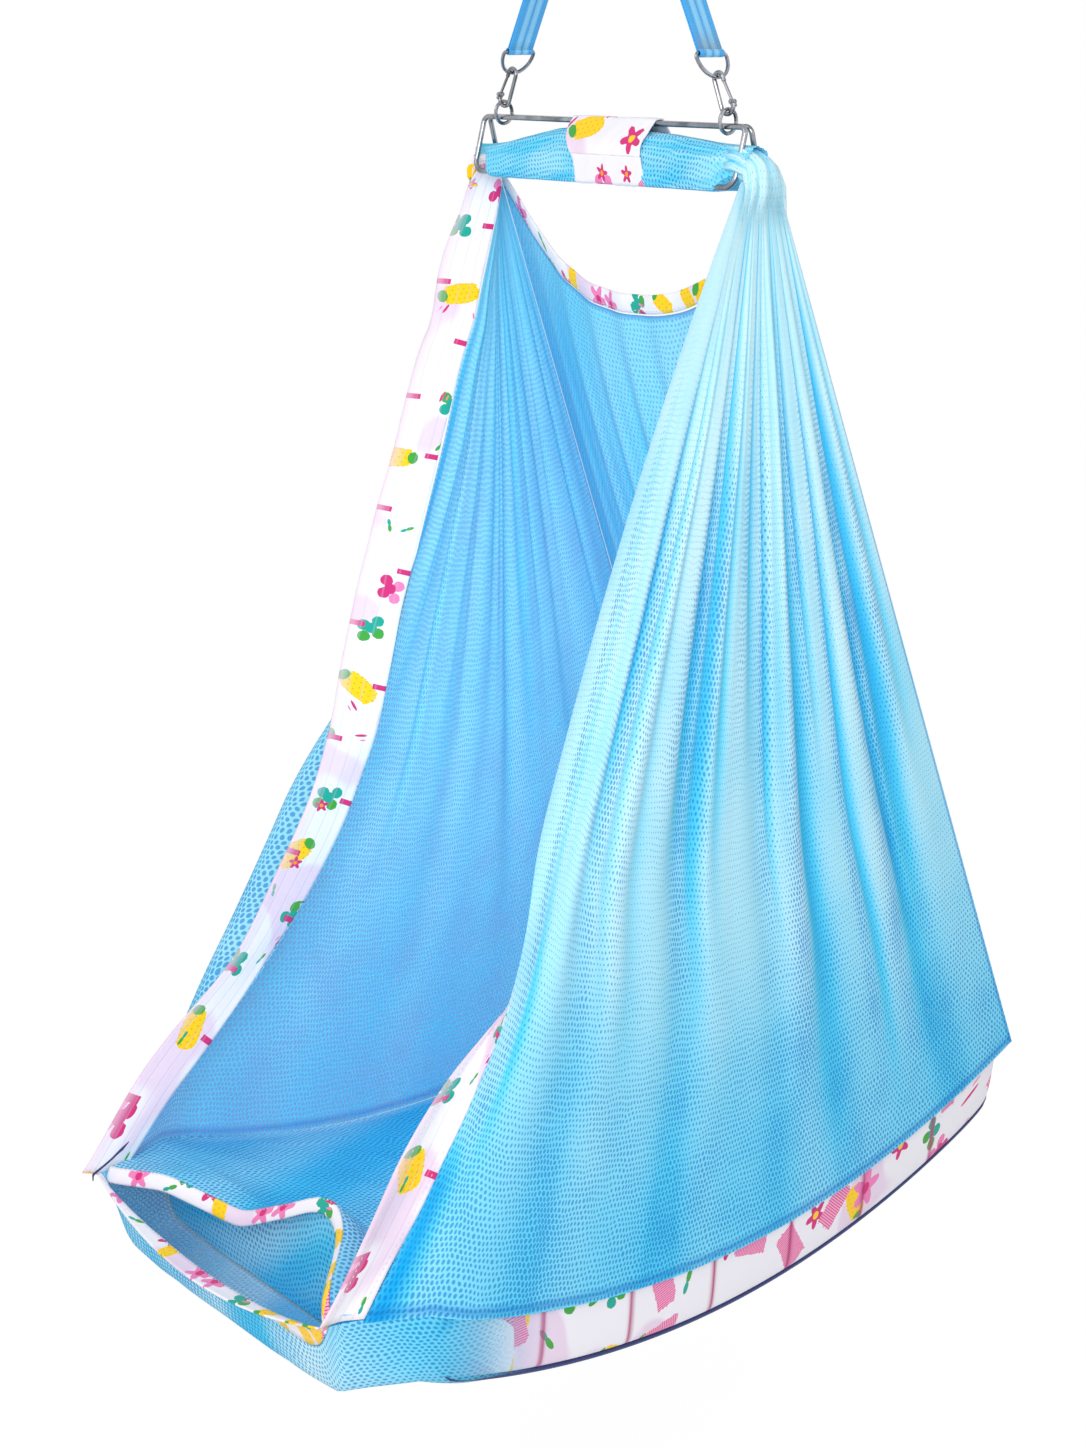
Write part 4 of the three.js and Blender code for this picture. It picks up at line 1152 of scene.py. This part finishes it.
def mattressBase():
    spread = [np.linspace(-share, share, count) for share, count in zip(quilt["baseShare"], quilt["baseCounts"])]
    x, y, full = padPlan(*np.meshgrid(*spread, indexing="ij"))
    x, y = x * quilt["baseGrow"][0], y * quilt["baseGrow"][1]
    top = underside(y, full) - 0.0005
    piece = closedPad("mattressBase", x, y, top, top - 0.001 - 0.003 * full, "navy")
    finishPiece(piece, "cradle", "navy_cloth", "mattress_base")


mattressPad()
mattressBase()
print("mattress quilted")

# Net roll and tie band
roll = {
    "reach": 0.182, "height": 0.044, "width": 0.046, "endHeight": 0.022, "endWidth": 0.012, "fill": 0.5,
    "coverWidth": 0.045, "coverDrop": 0.0045, "coverEnds": (0.146, 0.162), "bandEdges": (-0.025, 0.064),
    "bandTop": (-0.044, 0.062), "bandFlat": 0.11, "bandThickness": 0.0012, "bandLift": 0.0013, "barRadius": 0.0025,
    "columns": 160, "rows": 121, "patternStretch": 1.35, "boxPower": 0.3, "bandCounts": (60, 140),
}


def rollSection(share):
    # The right end stays full, because the right net flows out of it
    slim = smoothStep(np.abs(share), 0.25, 0.95) * np.where(share > 0, 0.45, 1.0)
    halfWidth = mix(roll["width"], roll["endWidth"], slim) / 2
    halfHeight = mix(roll["height"], roll["endHeight"], slim) / 2
    height = bed["lowBar"] + mix(roll["height"] / 2, roll["endHeight"] * 0.62, slim)
    return halfWidth, halfHeight, height


def rollCover(x):
    # Where the cloth wraps both low bars: from the band out to the bends
    left, right = roll["bandEdges"]
    beside = smoothStep(-x, -left - 0.008, -left) + smoothStep(x, right - 0.008, right)
    return beside * (1 - smoothStep(np.abs(x), *roll["coverEnds"]))


def rollWaves(share, turn, sizes):
    return sizes[0] * np.cos(6 * turn + 2 * share) + sizes[1] * np.cos(15 * turn - 5 * share) \
        + sizes[2] * np.cos(27 * turn + 9 * share)


def netRoll():
    def place(u, v):
        share, turn = fromMiddle(u), 2 * math.pi * v
        x = share * roll["reach"]
        halfWidth, halfHeight, height = rollSection(share)
        cover = rollCover(x)
        wide = mix(halfWidth, np.maximum(halfWidth, roll["coverWidth"] / 2), cover)
        below = mix(halfHeight, height - bed["lowBar"] + roll["coverDrop"], cover)
        aside, up = np.cos(turn), np.sin(turn)
        boxy = cover * (up < 0)
        power = mix(1.0, roll["boxPower"], boxy)
        deep = rollWaves(share, turn, (0.03, 0.022, 0.014)) + 0.02 * ripple(share * 9, up * 3, 51)
        swell = mix(0.95 + deep, 1.0 + 0.35 * deep, boxy)
        tall = np.where(up < 0, below, halfHeight)
        return (x, wide * swell * np.sign(aside) * np.abs(aside) ** power,
                height + tall * swell * np.sign(up) * np.abs(up) ** power)

    def paint(u, v):
        share, turn = fromMiddle(u), 2 * math.pi * v
        # Painted shade following the waves of the roll's surface
        deep = rollWaves(share, turn, (0.4, 0.35, 0.25))
        return {"fold": 0.50 + 0.12 * deep + 0.10 * ripple(share * 14, turn * 3, 57),
                "dense": 0.30 + 0.3 * smoothStep(np.abs(share), 0.6, 1.0)}

    piece = gridPiece("netRoll", place, roll["columns"], roll["rows"], "net", roll["patternStretch"], paint)
    finishPiece(piece, "cradle", "sky_net", "net_roll")


netRoll()

# Cloth that runs out of each end of the roll, over the low bars and down into the side:
# its middle line aside and in height, and its half width, half depth and shift at six knots
gathers = {
    1: {"aside": [0.142, 0.166, 0.184, 0.190, 0.1885, 0.1885],
        "height": [-0.397, -0.396, -0.401, -0.416, -0.436, -0.462],
        "wide": [0.0155, 0.0165, 0.019, 0.023, 0.027, 0.031],
        "deep": [0.0165, 0.016, 0.0125, 0.009, 0.007, 0.004], "back": [0, 0, 0, 0.001, 0.002, 0.004],
        "name": "rightGather", "cloth": "net", "slot": "sky_net"},
    -1: {"aside": [0.150, 0.166, 0.179, 0.1835, 0.182, 0.179],
         "height": [-0.404, -0.4045, -0.406, -0.413, -0.422, -0.432],
         "wide": [0.004, 0.0062, 0.0085, 0.011, 0.013, 0.014],
         "deep": [0.006, 0.0075, 0.007, 0.006, 0.005, 0.004], "back": [0, 0, -0.001, -0.003, -0.002, 0.0],
         "name": "leftGather", "cloth": "lip", "slot": "print_cloth"},
}


def gatherCloth(side):
    look = gathers[side]

    def at(key, v):
        return curve(v, np.linspace(0, 1, 6), look[key])

    def step(key, v):
        return at(key, np.minimum(v + 0.02, 1)) - at(key, np.maximum(v - 0.02, 0))

    def waves(u, v, sizes):
        turn = 2 * math.pi * u
        wave = turn + 0.35 * np.sin(2 * turn + 1)
        return wave, sizes[0] * np.cos(7 * wave + 2 * v) + sizes[1] * np.cos(17 * wave - 3 * v + 1)

    def place(u, v):
        stepX, stepZ = step("aside", v), step("height", v)
        long = np.hypot(stepX, stepZ)
        ruffle = 1 + waves(u, v, (0.05, 0.03))[1]
        deep = at("deep", v) * ruffle * np.sin(2 * math.pi * u)
        y = at("wide", v) * ruffle * np.cos(2 * math.pi * u) + at("back", v)
        return side * (at("aside", v) - deep * stepZ / long), y, at("height", v) + deep * stepX / long

    def paint(u, v):
        wave, ruffle = waves(u, v, (0.16, 0.08))
        # Painted shade following the gather's ruffles, paler further down
        fold = mix(0.58, 0.86, smoothStep(v, 0.1, 0.5)) + ruffle
        away = smoothStep(v, 0.5 + 0.1 * np.cos(7 * wave), 0.97)
        return {"fold": fold, "dense": 0.8,
                "veil": (1.0 - away) * smoothStep(v, 0.02, 0.22) if side > 0 else 1.0}

    piece = gridPiece(look["name"], place, 145, 40, look["cloth"], (0.15, 0.08), paint)
    finishPiece(piece, "cradle", look["slot"])


gatherCloth(1)
gatherCloth(-1)


def convexOutline(cloud):
    ordered = sorted(cloud)

    def chain(points):
        hull = []
        for p in points:
            while len(hull) > 1 and ((hull[-1][0] - hull[-2][0]) * (p[1] - hull[-2][1])
                                     - (hull[-1][1] - hull[-2][1]) * (p[0] - hull[-2][0])) <= 0:
                hull.pop()
            hull.append(p)
        return hull
    return chain(ordered)[:-1] + chain(ordered[::-1])[:-1]


def runLength(path):
    return np.concatenate([[0], np.cumsum(np.hypot(*np.diff(path, axis=0).T))])


def tieBand():
    cloud = []
    halfWidth, halfHeight, height = (float(v) for v in rollSection(np.array(0.0)))
    lift = roll["bandLift"]
    for turn in 2 * math.pi * np.arange(48) / 48:
        cosTurn, sinTurn = math.cos(turn), math.sin(turn)
        cloud.append(((halfWidth + lift) * cosTurn, height + (halfHeight + lift) * sinTurn))
        rod = roll["barRadius"] + lift
        for side in (-1, 1):
            cloud.append((side * 0.003 + rod * cosTurn, bed["topBar"] + rod * sinTurn))
            cloud.append((side * 0.017 + rod * cosTurn, bed["lowBar"] + rod * sinTurn))
    hull = convexOutline(cloud)
    hull = np.array(hull + hull[:1])
    length = runLength(hull)

    def place(u, v):
        y, z = (np.interp(v * length[-1], length, hull[:, k]) for k in (0, 1))
        high = smoothStep(z, bed["lowBar"] + 0.016, bed["topBar"])
        left, right = (mix(low, top, high) for low, top in zip(roll["bandEdges"], roll["bandTop"]))
        pucker = 1 + 0.0006 * ripple(u * 16, v * 22, 61) / (np.hypot(y, z - height) + 1e-6)
        return mix(left, right, u) + 0.0012 * np.sin(v * 18), y * pucker, height + (z - height) * pucker

    flat = (roll["bandFlat"], float(length[-1]))
    piece = gridPiece("tieBand", place, *roll["bandCounts"], "band", flat)
    thicken(piece, roll["bandThickness"])
    hang(piece, "print_cloth", "tie_band", flat, "stretched", "net_roll")


tieBand()
print("roll tied")

# Steel: loops, rings and hooks. Packed holds the ends of the names of nodes that only take the finish
steel = {
    "rod": 0.0025, "loopHalf": 0.170, "loopHeight": 0.052, "topCorner": 0.006, "lowCorner": 0.012,
    "lean": math.asin(0.014 / 0.052), "strapBar": -0.0572, "strapLean": math.radians(26.4), "strapLength": 0.277,
    "packed": ("hang_ring", "strap_ring", "_end_ring", "_hook_body", "_hook_gate", "_gate_pin", "_eye_ring"),
}


def arcPath(x, z, radius, start, end, steps):
    turns = np.linspace(start, end, steps + 1)
    return [(x + radius * math.cos(a), 0.0, z + radius * math.sin(a)) for a in turns]


def hangerLoop(side, name, node):
    half, low = steel["loopHalf"], -steel["loopHeight"]
    top, foot = steel["topCorner"], steel["lowCorner"]
    path = arcPath(half - top, -top, top, math.pi / 2, 0, 10)
    path += arcPath(half - foot, low + foot, foot, 0, -math.pi / 2, 14)
    path += arcPath(foot - half, low + foot, foot, -math.pi / 2, -math.pi, 14)
    path += arcPath(top - half, -top, top, math.pi, math.pi / 2, 10)
    lean = side * steel["lean"]
    placed = [(x, side * 0.003 - z * math.sin(lean), bed["topBar"] + z * math.cos(lean)) for x, y, z in path]
    piece = runTree(name, wireNodes, placed, "steel", closed=True, Radius=steel["rod"], Sides=20)
    finishPiece(piece, "cradle", "polished_steel", node)


hangerLoop(-1, "frontHangerLoop", "front_hanger_loop")
hangerLoop(1, "rearHangerLoop", "rear_hanger_loop")
# Rings, hooks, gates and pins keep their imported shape, with the polished finish
for name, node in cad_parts.items():
    if name.endswith(steel["packed"]):
        node.data.materials.clear()
        node.data.materials.append(finish["steel"])
print("steel bent")

# Webbing sling
strap = {
    "width": 0.030, "thickness": 0.0014, "barRadius": 0.0025, "ringRadius": 0.00175, "overlap": 0.045,
    "gap": 0.0003, "layerGap": 0.0002,
}


def legSide(side):
    # Path of the band on one side: over the bar, down the leg, round the end ring and back up
    lean, length = steel["strapLean"], steel["strapLength"]
    gap, half = strap["gap"], strap["thickness"] / 2
    beside = half + strap["layerGap"]
    down = np.array([side * math.sin(lean), -math.cos(lean)])
    outward = np.array([side * math.cos(lean), math.sin(lean)])
    bar = np.array([0.0, steel["strapBar"]])
    crown = strap["barRadius"] + gap + half
    wrap = strap["ringRadius"] + gap + half
    path = [bar + crown * np.array([side * math.sin(a), math.cos(a)])
            for a in np.linspace(0, math.pi / 2 - lean, 12)]
    path += [bar + down * length * share + outward * mix(crown, beside, min(share * 1.4, 1.0))
             for share in np.linspace(0.03, 0.9, 24)]
    path += [bar + down * length + wrap * (-down * math.cos(a) + outward * math.sin(a))
             for a in np.linspace(0.35, math.pi * 2 - 0.35, 24)]
    path += [bar + down * length * share - outward * beside
             for share in np.linspace(0.93, 0.93 - strap["overlap"] / length, 8)]
    return path


def slingStrap():
    path = np.array(legSide(-1)[::-1] + legSide(1)[1:])
    step = np.gradient(path, axis=0)
    normal = np.stack([-step[:, 1], step[:, 0]], -1)
    normal /= np.linalg.norm(normal, axis=1)[:, None]
    length = runLength(path)
    half, edge = strap["width"] / 2, strap["thickness"] / 2
    spread = np.linspace(-half + 0.002, half - 0.002, 9)
    profile = [(-half, -0.3), (-half, 0.3), (-half + 0.0005, 1.0), *((y, 1.0) for y in spread),
               (half - 0.0005, 1.0), (half, 0.3), (half, -0.3), (half - 0.0005, -1.0),
               *((y, -1.0) for y in spread[::-1]), (-half + 0.0005, -1.0)]
    count = len(profile)
    points, flat = [], []
    for p, n, run in zip(path, normal, length):
        for y, side in profile:
            at = p + n * side * edge
            points.append((at[0], y, at[1]))
            flat.append((y + half, run))
    quads = []
    for i in range(len(path) - 1):
        for k in range(count):
            a, b = i * count + k, i * count + (k + 1) % count
            quads.append((a, b, b + count, a + count))
    quads += [tuple(range(count))[::-1], tuple(range(len(points) - count, len(points)))]
    piece = addMesh("slingStrap", points, quads, finish["webbing"])
    layFlat(piece, np.array(flat))
    finishPiece(piece, "sling", "sky_webbing", "sling_strap")
    print("strap length", round(float(length[-1]), 3))


slingStrap()

# Navy corner tie
tie = {"width": 0.009, "length": 0.042, "thickness": 0.0012, "forward": 0.0038}


def cornerTie():
    fall = tent["gatherHeight"] - float(rimHeight(np.array(-mouthEnd)))

    def place(u, v):
        centreX, centreZ = sidePlace(-1, np.array(0.0), np.array(1 - tie["width"] / fall))[::2]
        slant = mix(-tie["length"], tie["length"], u) / 2 * math.sqrt(0.5)
        across = mix(-tie["width"], tie["width"], v) / 2 * (0.7 - 0.3 * np.sin(math.pi * u))
        height = centreZ + slant + across
        t = np.minimum((tent["gatherHeight"] - height) / fall, 1.0)
        edgeY = sidePlace(-1, 0 * u, t)[1]
        return slant * 0.5 - centreX + 0.004, edgeY - tie["forward"] - 0.0008 * np.sin(u * 9), height

    piece = gridPiece("leftCornerTie", place, 30, 7, "navy", (tie["length"], tie["width"]))
    thicken(piece, tie["thickness"])
    finishPiece(piece, "cradle", "navy_cloth", "left_corner_tie")


cornerTie()
print("strap and tie made")

# Stage: pale floor and backdrop, soft studio light, and light that comes through the thin nets into the tent
studio = {
    "floorHeight": -1.86, "floorHalf": 6.0, "floorGlow": 0.9, "worldLight": 0.62, "aim": (0, 0, -0.9),
    "lamps": (("frontLight", (1.5, -1.9, 0.1), 1.4, 34.0), ("keyLight", (-0.6, -2.6, 1.2), 1.6, 12.0),
              ("fillLight", (2.6, 0.6, 0.2), 1.8, 6.0)),
    "glowPlace": (0.15, -0.02, -0.98), "glowFacing": (-1, 0, -0.05), "glowSize": (0.5, 0.7), "glowPower": 1.0,
    "glowColour": (0.78, 1.0, 0.96),
}


def seenDirectly():
    rays = make("ShaderNodeLightPath")
    mirrored = calc("MAXIMUM", Wire(rays, "Is Glossy Ray"), Wire(rays, "Is Transmission Ray"))
    return calc("MAXIMUM", Wire(rays, "Is Camera Ray"), mirrored)


def addFloor():
    material = bpy.data.materials.new("paleFloor")
    material.use_nodes = True
    bench["tree"] = material.node_tree
    bench["tree"].nodes.clear()
    plain = make("ShaderNodeBsdfDiffuse", {0: (0.85, 0.85, 0.86, 1.0)})
    faint = make("ShaderNodeBsdfDiffuse", {0: (0.16, 0.16, 0.16, 1.0)})
    glow = make("ShaderNodeEmission", {"Strength": studio["floorGlow"]})
    both = make("ShaderNodeAddShader", {0: faint, 1: glow})
    make("ShaderNodeOutputMaterial", {0: make("ShaderNodeMixShader", {0: seenDirectly(), 1: plain, 2: both})})
    half, height = studio["floorHalf"], studio["floorHeight"]
    corners = [(-half, -half, height), (half, -half, height), (half, half, height), (-half, half, height)]
    addMesh("paleFloor", corners, [(0, 1, 2, 3)], material, smooth=False)


def addLamp(name, place, facing, size, power):
    data = bpy.data.lights.new(name, "AREA")
    data.size = size
    data.energy = power
    return addObject(name, data, place, facing)


def addLight():
    world = bpy.data.worlds.new("studioWorld")
    scene.world = world
    world.use_nodes = True
    bench["tree"] = world.node_tree
    back = world.node_tree.nodes["Background"].inputs
    back["Color"].default_value = (1.0, 1.0, 1.0, 1.0)
    link(seenDirectly() * (1.0 - studio["worldLight"]) + studio["worldLight"], back["Strength"])
    for name, place, size, power in studio["lamps"]:
        addLamp(name, place, Vector(studio["aim"]) - Vector(place), size, power)
    glow = addLamp("throughNets", studio["glowPlace"], studio["glowFacing"], studio["glowSize"][0],
                   studio["glowPower"])
    glow.data.shape = "RECTANGLE"
    glow.data.size_y = studio["glowSize"][1]
    glow.data.color = studio["glowColour"]
    glow.visible_camera = False
    glow.visible_glossy = False


addFloor()
addLight()
scene.view_settings.view_transform = "Standard"
print("stage lit")
